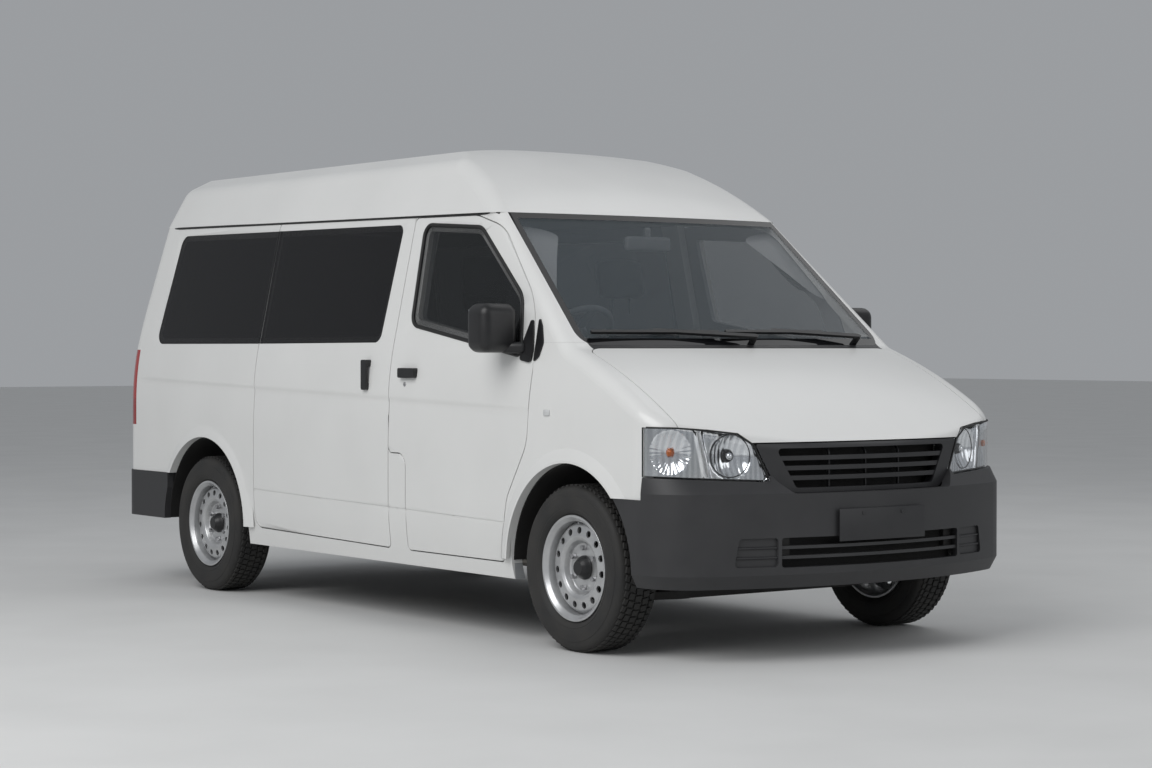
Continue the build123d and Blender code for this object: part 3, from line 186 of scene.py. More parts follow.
def paintFinish(name, lining):
    material, tree, shader = newMaterial(name)
    noise = objectNoise(tree, 2.5)
    colour = colourRamp(tree, noise, 0.3, 0.7, paint["low"], paint["high"])
    tree.links.new(rangeTo(tree, noise, 0.30, 0.36), shader.inputs["Roughness"])
    shader.inputs["Coat Weight"].default_value = 0.35
    shader.inputs["Coat Roughness"].default_value = 0.20
    if lining:
        where, x, y, z = objectPlace(tree)
        fall = addMath(tree, "MULTIPLY", addMath(tree, "SUBTRACT", z, sideSkin["leanFoot"]),
                       sideSkin["leanSlope"])
        outer = addMath(tree, "MINIMUM", addMath(tree, "SUBTRACT", sideSkin["leanX"], fall),
                        van["halfWidth"])
        inside = addMath(tree, "LESS_THAN", addMath(tree, "ABSOLUTE", x),
                         addMath(tree, "SUBTRACT", outer, paint["skin"]))
        # the lining ends ahead of the leaning tail
        over = addMath(tree, "MAXIMUM", addMath(tree, "SUBTRACT", z, paint["tailBend"]), 0.0)
        lean = addMath(tree, "MULTIPLY", over, paint["tailLean"])
        ahead = addMath(tree, "LESS_THAN", addMath(tree, "ADD", y, lean), fromAxle(paint["tailY"]))
        colour = mixColour(tree, addMath(tree, "MULTIPLY", inside, ahead), colour, paint["lining"])
        away = addMath(tree, "ABSOLUTE", addMath(tree, "SUBTRACT", y, fromAxle(paint["postY"])))
        near = addMath(tree, "LESS_THAN", away, paint["postHalf"])
        above = addMath(tree, "GREATER_THAN", z, paint["postFoot"])
        below = addMath(tree, "LESS_THAN", z, paint["postHead"])
        band = addMath(tree, "MULTIPLY", near, addMath(tree, "MULTIPLY", above, below))
        colour = mixColour(tree, band, colour, paint["post"])
    tree.links.new(colour, shader.inputs["Base Color"])
    return material


whitePaint = paintFinish("whitePaint", False)
sidePaint = paintFinish("sidePaint", True)
bumperPlastic = plainFinish("bumperPlastic", (0.028, 0.028, 0.030), (0.038, 0.038, 0.040),
                            (0.46, 0.56), 6.0, 900.0, 0.25)
grillePlastic = plainFinish("grillePlastic", (0.020, 0.020, 0.022), (0.028, 0.028, 0.030),
                            (0.40, 0.50), 9.0, 900.0, 0.15)
trimBlack = plainFinish("trimBlack", (0.010, 0.010, 0.011), (0.016, 0.016, 0.017),
                        (0.34, 0.44), 12.0, 700.0, 0.12)
rubberBlack = plainFinish("rubberBlack", (0.010, 0.010, 0.010), (0.018, 0.018, 0.018),
                          (0.55, 0.70), 20.0, 400.0, 0.2)
linerBlack = plainFinish("linerBlack", (0.008, 0.008, 0.008), (0.014, 0.013, 0.012),
                         (0.75, 0.9), 8.0, 120.0, 0.3)
chassisBlack = plainFinish("chassisBlack", (0.016, 0.016, 0.016), (0.030, 0.028, 0.026),
                           (0.5, 0.7), 7.0, 200.0, 0.25)
engineCast = plainFinish("engineCast", (0.12, 0.12, 0.125), (0.20, 0.20, 0.205),
                         (0.5, 0.7), 15.0, 350.0, 0.5, 0.6)
exhaustSteel = plainFinish("exhaustSteel", (0.28, 0.25, 0.22), (0.42, 0.40, 0.37),
                           (0.4, 0.6), 10.0, 300.0, 0.2, 0.9)
floorMat = plainFinish("floorMat", (0.05, 0.05, 0.053), (0.075, 0.075, 0.078),
                       (0.8, 0.95), 30.0, 600.0, 0.5)
dashPlastic = plainFinish("dashPlastic", (0.120, 0.128, 0.136), (0.150, 0.158, 0.166),
                          (0.55, 0.7), 12.0, 1000.0, 0.3)
wheelSilver = plainFinish("wheelSilver", (0.50, 0.505, 0.51), (0.60, 0.605, 0.61),
                          (0.30, 0.42), 14.0, 900.0, 0.06, 0.75, 0.2)
chromeBright = plainFinish("chromeBright", (0.80, 0.81, 0.82), (0.88, 0.89, 0.90),
                           (0.05, 0.10), 10.0, metallic=1.0)
nutSteel = plainFinish("nutSteel", (0.35, 0.35, 0.36), (0.50, 0.50, 0.51),
                       (0.25, 0.40), 60.0, metallic=0.95)
amberGlass = plainFinish("amberGlass", (0.65, 0.14, 0.02), (0.80, 0.20, 0.03),
                         (0.15, 0.25), 30.0, 500.0, 0.1)
markerLens = plainFinish("markerLens", (0.55, 0.56, 0.56), (0.66, 0.67, 0.67),
                         (0.15, 0.25), 40.0, 500.0, 0.1)
plateGrey = plainFinish("plateGrey", (0.020, 0.020, 0.022), (0.030, 0.030, 0.032),
                        (0.40, 0.55), 8.0, 500.0, 0.1)


# tinted and clear panes, with a dust film as faint colour change
def paneFinish(name, colour, rough, transmission, gloss=0.5, alpha=1.0):
    material, tree, shader = newMaterial(name)
    dusty = tuple(c * 1.08 for c in colour)
    tone = colourRamp(tree, objectNoise(tree, 3.0, 6.0), 0.3, 0.7, colour, dusty)
    tree.links.new(tone, shader.inputs["Base Color"])
    shader.inputs["Roughness"].default_value = rough
    shader.inputs["IOR"].default_value = 1.45
    shader.inputs["Transmission Weight"].default_value = transmission
    shader.inputs["Specular IOR Level"].default_value = gloss
    shader.inputs["Alpha"].default_value = alpha
    return material


doorPane = paneFinish("doorPane", (0.012, 0.014, 0.015), 0.02, 0.0, 0.5, 0.52)
darkPane = paneFinish("darkPane", (0.006, 0.006, 0.007), 0.03, 0.0, 0.32, 0.84)
lampLens = paneFinish("lampLens", (0.94, 0.95, 0.96), 0.01, 1.0)

# windscreen glass with its black printed border
screen = {"sideX": 0.797, "border": 0.030, "leanFoot": 1.196, "lean": 0.1532, "foot": 1.222,
          "head": 1.722, "low": (0.085, 0.110, 0.128), "high": (0.095, 0.121, 0.140),
          "print": (0.006, 0.006, 0.007, 1), "alpha": 0.27}


def screenFinish():
    material, tree, shader = newMaterial("screenGlass")
    where, x, y, z = objectPlace(tree)
    lean = addMath(tree, "MULTIPLY", addMath(tree, "SUBTRACT", z, screen["leanFoot"]), screen["lean"])
    side = addMath(tree, "GREATER_THAN", addMath(tree, "ADD", addMath(tree, "ABSOLUTE", x), lean),
                   screen["sideX"] - screen["border"])
    foot = addMath(tree, "LESS_THAN", z, screen["foot"])
    head = addMath(tree, "GREATER_THAN", z, screen["head"])
    border = addMath(tree, "MAXIMUM", addMath(tree, "MAXIMUM", side, foot), head)
    tone = colourRamp(tree, objectNoise(tree, 3.0), 0.3, 0.7, screen["low"], screen["high"])
    tree.links.new(mixColour(tree, border, tone, screen["print"]), shader.inputs["Base Color"])
    tree.links.new(rangeTo(tree, border, screen["alpha"], 1.0, 0.0, 1.0), shader.inputs["Alpha"])
    shader.inputs["Roughness"].default_value = 0.02
    shader.inputs["IOR"].default_value = 1.45
    return material


screenGlass = screenFinish()

# red tail lens in two tones, with fine flutes
tailLamp = {"foot": 0.793, "head": 1.174, "change": 0.34, "low": (0.30, 0.010, 0.010),
            "high": (0.38, 0.016, 0.014)}


def tailLensFinish():
    material, tree, shader = newMaterial("tailLens")
    where, x, y, z = objectPlace(tree)
    height = rangeTo(tree, z, 0.0, 1.0, tailLamp["foot"], tailLamp["head"])
    tone = colourRamp(tree, height, 0.0, tailLamp["change"], tailLamp["low"], tailLamp["high"])
    tone.node.color_ramp.interpolation = "CONSTANT"
    tree.links.new(tone, shader.inputs["Base Color"])
    bumpFrom(tree, shader, objectWave(tree, where, "DIAGONAL", Scale=60.0), 0.15, 0.002)
    shader.inputs["Roughness"].default_value = 0.12
    shader.inputs["Coat Weight"].default_value = 0.6
    return material


tailLens = tailLensFinish()


# pressed reflector: mirror finish with fluting, its colour paler on the flute crests and darker in the
# troughs as painted highlight and shade
def reflectorFinish():
    material, tree, shader = newMaterial("lampReflector")
    where = addNode(tree, "ShaderNodeTexCoord").outputs["Object"]
    flutes = objectWave(tree, where, "X", Scale=16.0, Distortion=0.6, Detail=1.0)
    bumpFrom(tree, shader, flutes, 0.15, 0.006)
    # painted highlight and shade: the mirror colour follows the flutes, paler on their crests and
    # darker in their troughs
    tone = colourRamp(tree, flutes, 0.2, 0.8, (0.72, 0.73, 0.75), (0.88, 0.89, 0.90))
    tree.links.new(tone, shader.inputs["Base Color"])
    shader.inputs["Metallic"].default_value = 1.0
    shader.inputs["Roughness"].default_value = 0.12
    return material


lampReflector = reflectorFinish()


# tyre rubber, browner and rougher in patches
def tyreFinish():
    material, tree, shader = newMaterial("tyreRubber")
    noise = objectNoise(tree, 9.0, 6.0)
    tone = colourRamp(tree, noise, 0.3, 0.75, (0.018, 0.018, 0.018), (0.040, 0.038, 0.035))
    tree.links.new(tone, shader.inputs["Base Color"])
    tree.links.new(rangeTo(tree, noise, 0.62, 0.82), shader.inputs["Roughness"])
    bumpFrom(tree, shader, objectNoise(tree, 260.0, 6.0), 0.2, 0.001)
    return material


tyreRubber = tyreFinish()


# seat cloth: fine weave over a grey ground
def clothFinish():
    material, tree, shader = newMaterial("seatCloth")
    where = addNode(tree, "ShaderNodeTexCoord").outputs["Object"]
    weave = addMath(tree, "MULTIPLY", objectWave(tree, where, "X", Scale=140.0),
                    objectWave(tree, where, "Z", Scale=140.0))
    tone = colourRamp(tree, weave, 0.1, 0.9, (0.045, 0.048, 0.052), (0.085, 0.088, 0.094))
    tree.links.new(tone, shader.inputs["Base Color"])
    bumpFrom(tree, shader, weave, 0.35, 0.0015)
    shader.inputs["Roughness"].default_value = 0.9
    shader.inputs["Sheen Weight"].default_value = 0.25
    return material


seatCloth = clothFinish()
print("materials made")

# finish of every CAD node
nodeFinish = {
    whitePaint: ["high_roof", "hood", "tailgate", "door_pillars", "front_fenders"],
    sidePaint: ["body_side_left", "body_side_right", "sliding_doors", "front_door_left",
                "front_door_right"],
    bumperPlastic: ["front_bumper", "rear_bumper"],
    grillePlastic: ["grille"],
    trimBlack: ["mirror_left", "mirror_right", "door_handle_left", "door_handle_right",
                "sliding_door_handles", "cowl_panel", "wipers"],
    screenGlass: ["windscreen"],
    doorPane: ["front_door_glass_left", "front_door_glass_right"],
    darkPane: ["sliding_door_glass", "quarter_glass", "tailgate_glass"],
    lampLens: ["headlamp_lenses"],
    lampReflector: ["headlamp_housings"],
    tailLens: ["tail_lamps"],
    linerBlack: ["arch_liners", "radiator"],
    chassisBlack: ["chassis_frame", "front_suspension", "rear_axle", "leaf_springs", "driveline",
                   "fuel_tank", "knuckle_left", "knuckle_right"],
    engineCast: ["engine_block"],
    exhaustSteel: ["exhaust"],
    floorMat: ["floor_pan", "engine_cover"],
    dashPlastic: ["dashboard", "steering_wheel"],
    seatCloth: ["front_seats", "rear_seats"],
    tyreRubber: ["tyre_front_left", "tyre_front_right", "tyre_rear_left", "tyre_rear_right"],
    wheelSilver: ["wheel_front_left", "wheel_front_right", "wheel_rear_left", "wheel_rear_right"],
}
for finish, names in nodeFinish.items():
    for name in names:
        shown = nodes[name]
        shown.data.materials.clear()
        shown.data.materials.append(finish)
print("CAD nodes finished")


# pieces

def makePiece(name, bm, body, finish, sharp=35.0, replaces=None):
    bmesh.ops.remove_doubles(bm, verts=bm.verts, dist=0.00002)
    bmesh.ops.recalc_face_normals(bm, faces=bm.faces)
    mesh = bpy.data.meshes.new(name)
    bm.to_mesh(mesh)
    bm.free()
    for face in mesh.polygons:
        face.use_smooth = True
    mesh.set_sharp_from_angle(angle=math.radians(sharp))
    mesh.materials.append(finish)
    piece = bpy.data.objects.new(name, mesh)
    bpy.context.scene.collection.objects.link(piece)
    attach(piece, body)
    if replaces:
        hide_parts(*replaces)
    return piece


# edges or faces at vertices, each once and in the same order every run
def linked(verts, kind):
    return list(dict.fromkeys(item for v in verts for item in getattr(v, kind)))


# a box with rounded edges, added to a bmesh
def addBlock(bm, centre, size, bevel=0.0, segments=3, turn=None):
    made = bmesh.ops.create_cube(bm, size=1.0)["verts"]
    bmesh.ops.scale(bm, vec=Vector(size), verts=made)
    if bevel > 0:
        edges = linked(made, "link_edges")
        result = bmesh.ops.bevel(bm, geom=edges, offset=bevel, segments=segments, profile=0.5,
                                 affect="EDGES", material=-1)
        made = result["verts"]
    if turn is not None:
        bmesh.ops.rotate(bm, verts=made, cent=(0, 0, 0), matrix=turn)
    bmesh.ops.translate(bm, verts=made, vec=Vector(centre))
    return made


# boxes from rows of (centre, size, bevel, segments)
def addBlocks(bm, rows):
    for (x, y, z), size, bevel, segments in rows:
        addBlock(bm, (x, fromAxle(y), z), size, bevel, segments)


# a round form: profile of (along axle, radius) spun about x
def addTurned(bm, rows, centre, steps=48, flip=1):
    made = [bm.verts.new((flip * a, 0.0, r)) for a, r in rows]
    edges = [bm.edges.new((made[i], made[i + 1])) for i in range(len(made) - 1)]
    before = set(bm.verts) - set(made)
    bmesh.ops.spin(bm, geom=made + edges, cent=(0, 0, 0), axis=(1, 0, 0), angle=math.tau, steps=steps,
                   use_merge=True)
    turned = [v for v in bm.verts if v not in before]
    bmesh.ops.translate(bm, verts=turned, vec=Vector(centre))


# copies of faces set evenly round the axle
def repeatRound(bm, faces, count):
    bmesh.ops.spin(bm, geom=faces, cent=(0, 0, 0), axis=(1, 0, 0), angle=math.tau * (1 - 1 / count),
                   steps=count - 1, use_duplicate=True)


# faces given a thickness
def thicken(bm, faces, shift):
    made = bmesh.ops.extrude_face_region(bm, geom=faces)["geom"]
    bmesh.ops.translate(bm, verts=[v for v in made if isinstance(v, bmesh.types.BMVert)], vec=shift)


# a filled outline with a thickness
def addSheet(bm, points, shift):
    thicken(bm, [bm.faces.new([bm.verts.new(p) for p in points])], shift)


def addBall(bm, centre, radius, around, up):
    bmesh.ops.create_uvsphere(bm, u_segments=around, v_segments=up, radius=radius)
    bmesh.ops.translate(bm, verts=bm.verts, vec=centre)


# a round cord or seal along points
def makeTrim(name, points, radius, body, finish, closed=False):
    curve = bpy.data.curves.new(name, "CURVE")
    curve.dimensions = "3D"
    curve.bevel_depth = radius
    curve.bevel_resolution = 3
    spline = curve.splines.new("POLY")
    spline.points.add(len(points) - 1)
    for point, place in zip(spline.points, points):
        point.co = (*place, 1)
    spline.use_cyclic_u = closed
    curve.use_fill_caps = not closed
    piece = bpy.data.objects.new(name, curve)
    bpy.context.scene.collection.objects.link(piece)
    curve.materials.append(finish)
    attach(piece, body)


# outline with rounded corners from rows of (u, v, radius)
def roundedOutline(rows, steps=6):
    out = []
    count = len(rows)
    for i, (u, v, radius) in enumerate(rows):
        p = Vector((u, v))
        before = (Vector(rows[i - 1][:2]) - p).normalized()
        after = (Vector(rows[(i + 1) % count][:2]) - p).normalized()
        half = before.angle(after) / 2
        centre = p + (before + after).normalized() * (radius / math.sin(half))
        start = p + before * (radius / math.tan(half)) - centre
        end = p + after * (radius / math.tan(half)) - centre
        first = math.atan2(start.y, start.x)
        sweep = (math.atan2(end.y, end.x) - first + math.pi) % math.tau - math.pi
        for k in range(steps + 1):
            angle = first + sweep * k / steps
            out.append(centre + Vector((math.cos(angle), math.sin(angle))) * radius)
    return out


# a rounded outline laid on the side skin and lifted off it
def onSkin(rows, sign, lift, steps):
    points = []
    for p in roundedOutline(rows, steps):
        points.append((sign * (skinX(p.y) + lift), fromAxle(p.x), p.y))
    return points


wheelPlaces = []
for place, axleY in (("front", van["frontAxleY"]), ("rear", van["rearAxleY"])):
    for sideName, sign in bothSides:
        centre = Vector((sign * van["wheelX"], axleY, van["axleZ"]))
        wheelPlaces.append((place + "_" + sideName, sign, centre))

# tyres: a turned carcass with rows of tread blocks
tyre = {"radius": 0.327, "grooveDepth": 0.007, "steps": 84, "blocksAround": 66,
        "rowsAcross": ((-0.062, 0.018), (-0.034, 0.026), (0.0, 0.028), (0.034, 0.026), (0.062, 0.018)),
        "blockLong": 0.80, "blockTall": 1.6, "blockLift": 0.2, "blockSlant": 14.0, "rowShift": 0.37,
        "wall": ((0.070, 0.1915), (0.078, 0.2105), (0.0895, 0.219), (0.0955, 0.2325),
                 (0.0945, 0.2345), (0.0970, 0.2400), (0.0972, 0.262), (0.0962, 0.2850),
                 (0.0945, 0.2865), (0.0935, 0.2985), (0.0905, 0.3085), (0.0830, 0.3160)),
        "crownHalf": 0.0735}
base = tyre["radius"] - tyre["grooveDepth"]
halfProfile = list(tyre["wall"]) + [(tyre["crownHalf"], base), (0.0, base)]
tyreProfile = halfProfile + [(-a, r) for a, r in reversed(halfProfile[:-1])] + [halfProfile[0]]
pitch = math.tau * base / tyre["blocksAround"]
for corner, sign, centre in wheelPlaces:
    bm = bmesh.new()
    addTurned(bm, tyreProfile, (0, 0, 0), tyre["steps"])
    for row, (across, width) in enumerate(tyre["rowsAcross"]):
        slant = math.copysign(tyre["blockSlant"], across) if across else 0.0
        made = addBlock(bm, (across, 0, 0),
                        (width, pitch * tyre["blockLong"], tyre["grooveDepth"] * tyre["blockTall"]),
                        0.0012, 1, Matrix.Rotation(math.radians(slant), 3, "Z"))
        lift = base + tyre["grooveDepth"] * tyre["blockLift"]
        bmesh.ops.translate(bm, verts=made, vec=(0, 0, lift))
        faces = linked(made, "link_faces")
        shift = math.tau / tyre["blocksAround"] * tyre["rowShift"] * row
        bmesh.ops.rotate(bm, verts=made, cent=(0, 0, 0), matrix=Matrix.Rotation(shift, 3, "X"))
        repeatRound(bm, faces, tyre["blocksAround"])
    bmesh.ops.translate(bm, verts=bm.verts, vec=centre)
    makePiece("tyreTread_" + corner, bm, "wheel_" + corner, tyreRubber, 30,
              ["tyre_" + corner])
print("tyres made")

# wheel dress: black hub cap, nuts and a valve
hub = {"cap": ((0.0265, 0.0), (0.0265, 0.0475), (0.033, 0.0475), (0.035, 0.0455), (0.045, 0.0430),
               (0.056, 0.0340), (0.0640, 0.0275), (0.0645, 0.0)),
       "nutCircle": 0.078, "nutCount": 6, "nutRadius": 0.0115, "nutTall": 0.020, "nutTaper": 0.92,
       "nutBevel": 0.0018, "face": 0.026, "valve": (0.050, 0.176), "valveSize": (0.022, 0.008, 0.008)}
for corner, sign, centre in wheelPlaces:
    bm = bmesh.new()
    addTurned(bm, hub["cap"], centre, 40, sign)
    makePiece("hubCap_" + corner, bm, "wheel_" + corner, trimBlack, 40)
    bm = bmesh.new()
    bmesh.ops.create_cone(bm, cap_ends=True, segments=6, radius1=hub["nutRadius"],
                          radius2=hub["nutRadius"] * hub["nutTaper"], depth=hub["nutTall"])
    bmesh.ops.bevel(bm, geom=list(bm.edges), offset=hub["nutBevel"], segments=2, profile=0.5,
                    affect="EDGES", material=-1)
    bmesh.ops.rotate(bm, verts=bm.verts, cent=(0, 0, 0), matrix=Matrix.Rotation(math.pi / 2, 3, "Y"))
    bmesh.ops.translate(bm, verts=bm.verts,
                        vec=(sign * (hub["face"] + hub["nutTall"] / 2), 0, hub["nutCircle"]))
    repeatRound(bm, list(bm.faces), hub["nutCount"])
    out, up = hub["valve"]
    addBlock(bm, (sign * out, 0, up), hub["valveSize"], 0.002, 2)
    bmesh.ops.translate(bm, verts=bm.verts, vec=centre)
    makePiece("wheelNuts_" + corner, bm, "wheel_" + corner, nutSteel, 30)
print("wheel dress made")

# headlamps: a two-cell reflector behind the lens, bulbs, a slanted bar and a dark rim
# bowls are (place round the nose, height, radius, depth, flute depth)
lamp = {"noseY": -0.755, "cornerR": 0.200, "across": 150, "up": 56, "back": 0.0095, "step": 0.004,
        "foot": ((0.461, 0.683), (0.960, 0.706)), "innerX": 0.474, "outerY": -0.463,
        "head": ((0.461, 0.683), (0.529, 0.822), (0.590, 0.863), (0.702, 0.877), (0.811, 0.886),
                 (0.960, 0.889)),
        "mainBowl": (0.622, 0.779, 0.088, 0.040, 0.0), "turnBowl": (0.862, 0.793, 0.082, 0.024, 0.0008),
        "flutes": 30, "bulbDepths": (0.034, 0.020), "bulbRadius": 0.014, "socket": (0.050, 0.023),
        "edge": 0.079, "edgeSteps": 48, "edgeRadius": 0.0018,
        "barFoot": 0.716, "barHead": 0.757, "barHalf": 0.009, "barRise": 0.002, "barFrom": 0.70,
        "barTall": 0.19, "rodFrom": 0.703, "rodTall": 0.170, "rodRadius": 0.0042, "rodSteps": 8,
        "rimStart": 0.775, "rimStep": 0.02, "rimRadius": 0.0035}


# place and outward normal on the nose's plan, by the distance round it from the middle
def nosePlan(s):
    inner = van["noseR"] - lamp["cornerR"]
    cornerX = van["halfWidth"] - lamp["cornerR"]
    turn = math.asin(cornerX / inner)
    reach = van["noseR"] * turn
    if s <= reach:
        angle = s / van["noseR"]
        normal = Vector((math.sin(angle), -math.cos(angle)))
        return Vector((0, lamp["noseY"] + van["noseR"])) + normal * van["noseR"], normal
    centre = Vector((cornerX, lamp["noseY"] + van["noseR"] - inner * math.cos(turn)))
    angle = turn + (s - reach) / lamp["cornerR"]
    normal = Vector((math.sin(angle), -math.cos(angle)))
    return centre + normal * lamp["cornerR"], normal


# a point behind the nose skin
def behindNose(s, z, depth, sign):
    place, normal = nosePlan(s)
    at = place - normal * depth
    return sign * at.x, fromAxle(at.y), z


def alongRows(rows, x):
    for (x0, z0), (x1, z1) in zip(rows, rows[1:]):
        if x <= x1:
            return z0 + (z1 - z0) * (x - x0) / (x1 - x0)
    return rows[-1][1]


def barPlace(share):
    return lamp["barFoot"] + (lamp["barHead"] - lamp["barFoot"]) * share


# depth of the reflector: bowls sunk in a flat, with a soft ridge under the bar
def lampDepth(s, z):
    away = abs(s - barPlace((z - lamp["barFrom"]) / lamp["barTall"]))
    deep = lamp["back"] + lamp["step"]
    for place, height, radius, depth, ripple in (lamp["mainBowl"], lamp["turnBowl"]):
        off = math.hypot(s - place, z - height) / radius
        if off < 1:
            flute = math.sin(lamp["flutes"] * math.atan2(z - height, s - place)) * ripple * off
            deep = lamp["back"] + lamp["step"] + depth * (1 - off * off) + flute
    rise = min(1.0, max(0.0, 2 - away / lamp["barHalf"]))
    rise = rise * rise * (3 - 2 * rise)
    return deep + (lamp["back"] - lamp["barRise"] - deep) * rise


outerS = 0.5
while nosePlan(outerS)[0].y < lamp["outerY"]:
    outerS += 0.002
for sideName, sign in bothSides:
    bm = bmesh.new()
    rows = []
    for i in range(lamp["across"] + 1):
        s = lamp["innerX"] + 0.005 + (outerS - 0.003 - lamp["innerX"]) * i / lamp["across"]
        x = nosePlan(s)[0].x
        low = alongRows(lamp["foot"], x) + 0.004
        high = max(alongRows(lamp["head"], x) - 0.004, low + 0.004)
        row = []
        for j in range(lamp["up"] + 1):
            z = low + (high - low) * j / lamp["up"]
            row.append(bm.verts.new(behindNose(s, z, lampDepth(s, z), sign)))
        rows.append(row)
    for i in range(lamp["across"]):
        for j in range(lamp["up"]):
            corners = [rows[i][j], rows[i + 1][j], rows[i + 1][j + 1], rows[i][j + 1]]
            bm.faces.new(corners if sign > 0 else corners[::-1])
    thicken(bm, list(bm.faces), (-sign * 0.001, 0.002, 0))
    makePiece("lampReflector_" + sideName, bm, "body", lampReflector, 60,
              ["headlamp_housings"] if sign > 0 else None)
    mainS, mainZ = lamp["mainBowl"][:2]
    turnS, turnZ = lamp["turnBowl"][:2]
    bulbs = ((mainS, mainZ, chromeBright), (turnS, turnZ, amberGlass))
    for index, (s, z, finish) in enumerate(bulbs):
        bm = bmesh.new()
        addBall(bm, behindNose(s, z, lamp["bulbDepths"][index], sign), lamp["bulbRadius"], 20, 12)
        makePiece("lampBulb%d_%s" % (index, sideName), bm, "body", finish, 60)
    # dark socket and bowl edge, and the pale rod on the ridge
    depth, radius = lamp["socket"]
    bm = bmesh.new()
    addBall(bm, behindNose(mainS, mainZ, depth, sign), radius, 24, 14)
    makePiece("lampSocket_" + sideName, bm, "body", trimBlack, 60)
    edge = []
    for k in range(lamp["edgeSteps"]):
        s = mainS + lamp["edge"] * math.cos(math.tau * k / lamp["edgeSteps"])
        z = mainZ + lamp["edge"] * math.sin(math.tau * k / lamp["edgeSteps"])
        edge.append(behindNose(s, z, lampDepth(s, z) - 0.001, sign))
    makeTrim("lampBowlEdge_" + sideName, edge, lamp["edgeRadius"], "body", plateGrey,
             True)
    rod = []
    for k in range(lamp["rodSteps"] + 1):
        share = k / lamp["rodSteps"]
        z = lamp["rodFrom"] + lamp["rodTall"] * share
        rod.append(behindNose(barPlace(share), z, lamp["back"], sign))
    makeTrim("lampBar_" + sideName, rod, lamp["rodRadius"], "body", markerLens)
    rim = []
    for x, z in lamp["head"][:4]:
        rim.append(behindNose(van["noseR"] * math.asin(x / van["noseR"]), z, 0.0, sign))
    s = lamp["rimStart"]
    while s < outerS:
        rim.append(behindNose(s, alongRows(lamp["head"], nosePlan(s)[0].x), 0.0, sign))
        s += lamp["rimStep"]
    makeTrim("lampRim_" + sideName, rim, lamp["rimRadius"], "body", rubberBlack)
print("headlamp pieces made")

# side panels with the soft shoulder fold pressed in below the belt
# rows are (height over the fold line, depth)
shoulder = {"rise": 0.0255, "height": 0.974, "skin": 0.0015, "front": (0.20, 0.55),
            "rear": (3.60, 3.74),
            "rows": ((0.012, 0.0), (0.004, 0.0006), (-0.004, 0.0035), (-0.012, 0.0060),
                     (-0.030, 0.0062), (-0.080, 0.0042), (-0.140, 0.0016), (-0.200, 0.0))}


def shoulderDepth(y, z):
    over = z - (shoulder["height"] + shoulder["rise"] * y)
    rows = shoulder["rows"]
    if over >= rows[0][0] or over <= rows[-1][0]:
        return 0.0
    depth = 0.0
    for (high, dHigh), (low, dLow) in zip(rows, rows[1:]):
        if low <= over <= high:
            depth = dHigh + (dLow - dHigh) * (high - over) / (high - low)
    start, full = (fromAxle(v) for v in shoulder["front"])
    end, gone = (fromAxle(v) for v in shoulder["rear"])
    fadeIn = min(1, max(0, (y - start) / (full - start)))
    fadeOut = min(1, max(0, (gone - y) / (gone - end)))
    return depth * fadeIn * fadeOut


def pressShoulder(node, body):
    bm = bmesh.new()
    bm.from_mesh(nodes[node].data)
    bm.transform(nodes[node].matrix_world)
    bmesh.ops.remove_doubles(bm, verts=bm.verts, dist=0.00002)
    cuts = []
    for over, depth in shoulder["rows"]:
        cuts.append(((0, 0, shoulder["height"] + over), (0, -shoulder["rise"], 1)))
    for y in shoulder["front"] + shoulder["rear"]:
        cuts.append(((0, fromAxle(y), 0), (0, 1, 0)))
    for place, normal in cuts:
        bmesh.ops.bisect_plane(bm, geom=bm.verts[:] + bm.edges[:] + bm.faces[:], dist=0.000002,
                               plane_co=place, plane_no=Vector(normal).normalized())
    for v in bm.verts:
        if abs(abs(v.co.x) - skinX(v.co.z)) < shoulder["skin"]:
            v.co.x -= math.copysign(shoulderDepth(v.co.y, v.co.z), v.co.x)
    piece = makePiece("pressed_" + node, bm, body, sidePaint, 28, [node])
    weigh = piece.modifiers.new("weigh", "WEIGHTED_NORMAL")  # keeps large faces even beside fillets
    weigh.weight = 100
    weigh.keep_sharp = True


pressShoulder("sliding_doors", "body")
for sideName, sign in bothSides:
    pressShoulder("body_side_" + sideName, "body")
    pressShoulder("front_door_" + sideName, "front_door_" + sideName)
print("side panels pressed")

# inner walls that close the wheel arches above the floor: axle y, arch radius, x
archWall = {"front": (van["frontAxleY"], 0.4037, 0.5055), "rear": (van["rearAxleY"], 0.4157, 0.6005),
            "low": 0.497, "thick": 0.003, "steps": 28}
for place in ("front", "rear"):
    axleY, radius, wallX = archWall[place]
    low = math.asin((archWall["low"] - van["axleZ"]) / radius)
    for sideName, sign in bothSides:
        points = []
        for k in range(archWall["steps"] + 1):
            turn = low + (math.pi - 2 * low) * k / archWall["steps"]
            points.append((sign * wallX, axleY + radius * math.cos(turn),
                           van["axleZ"] + radius * math.sin(turn)))
        bm = bmesh.new()
        addSheet(bm, points, (sign * archWall["thick"], 0, 0))
        makePiece("archWall_" + place + "_" + sideName, bm, "body", linerBlack, 30)
print("arch walls made")

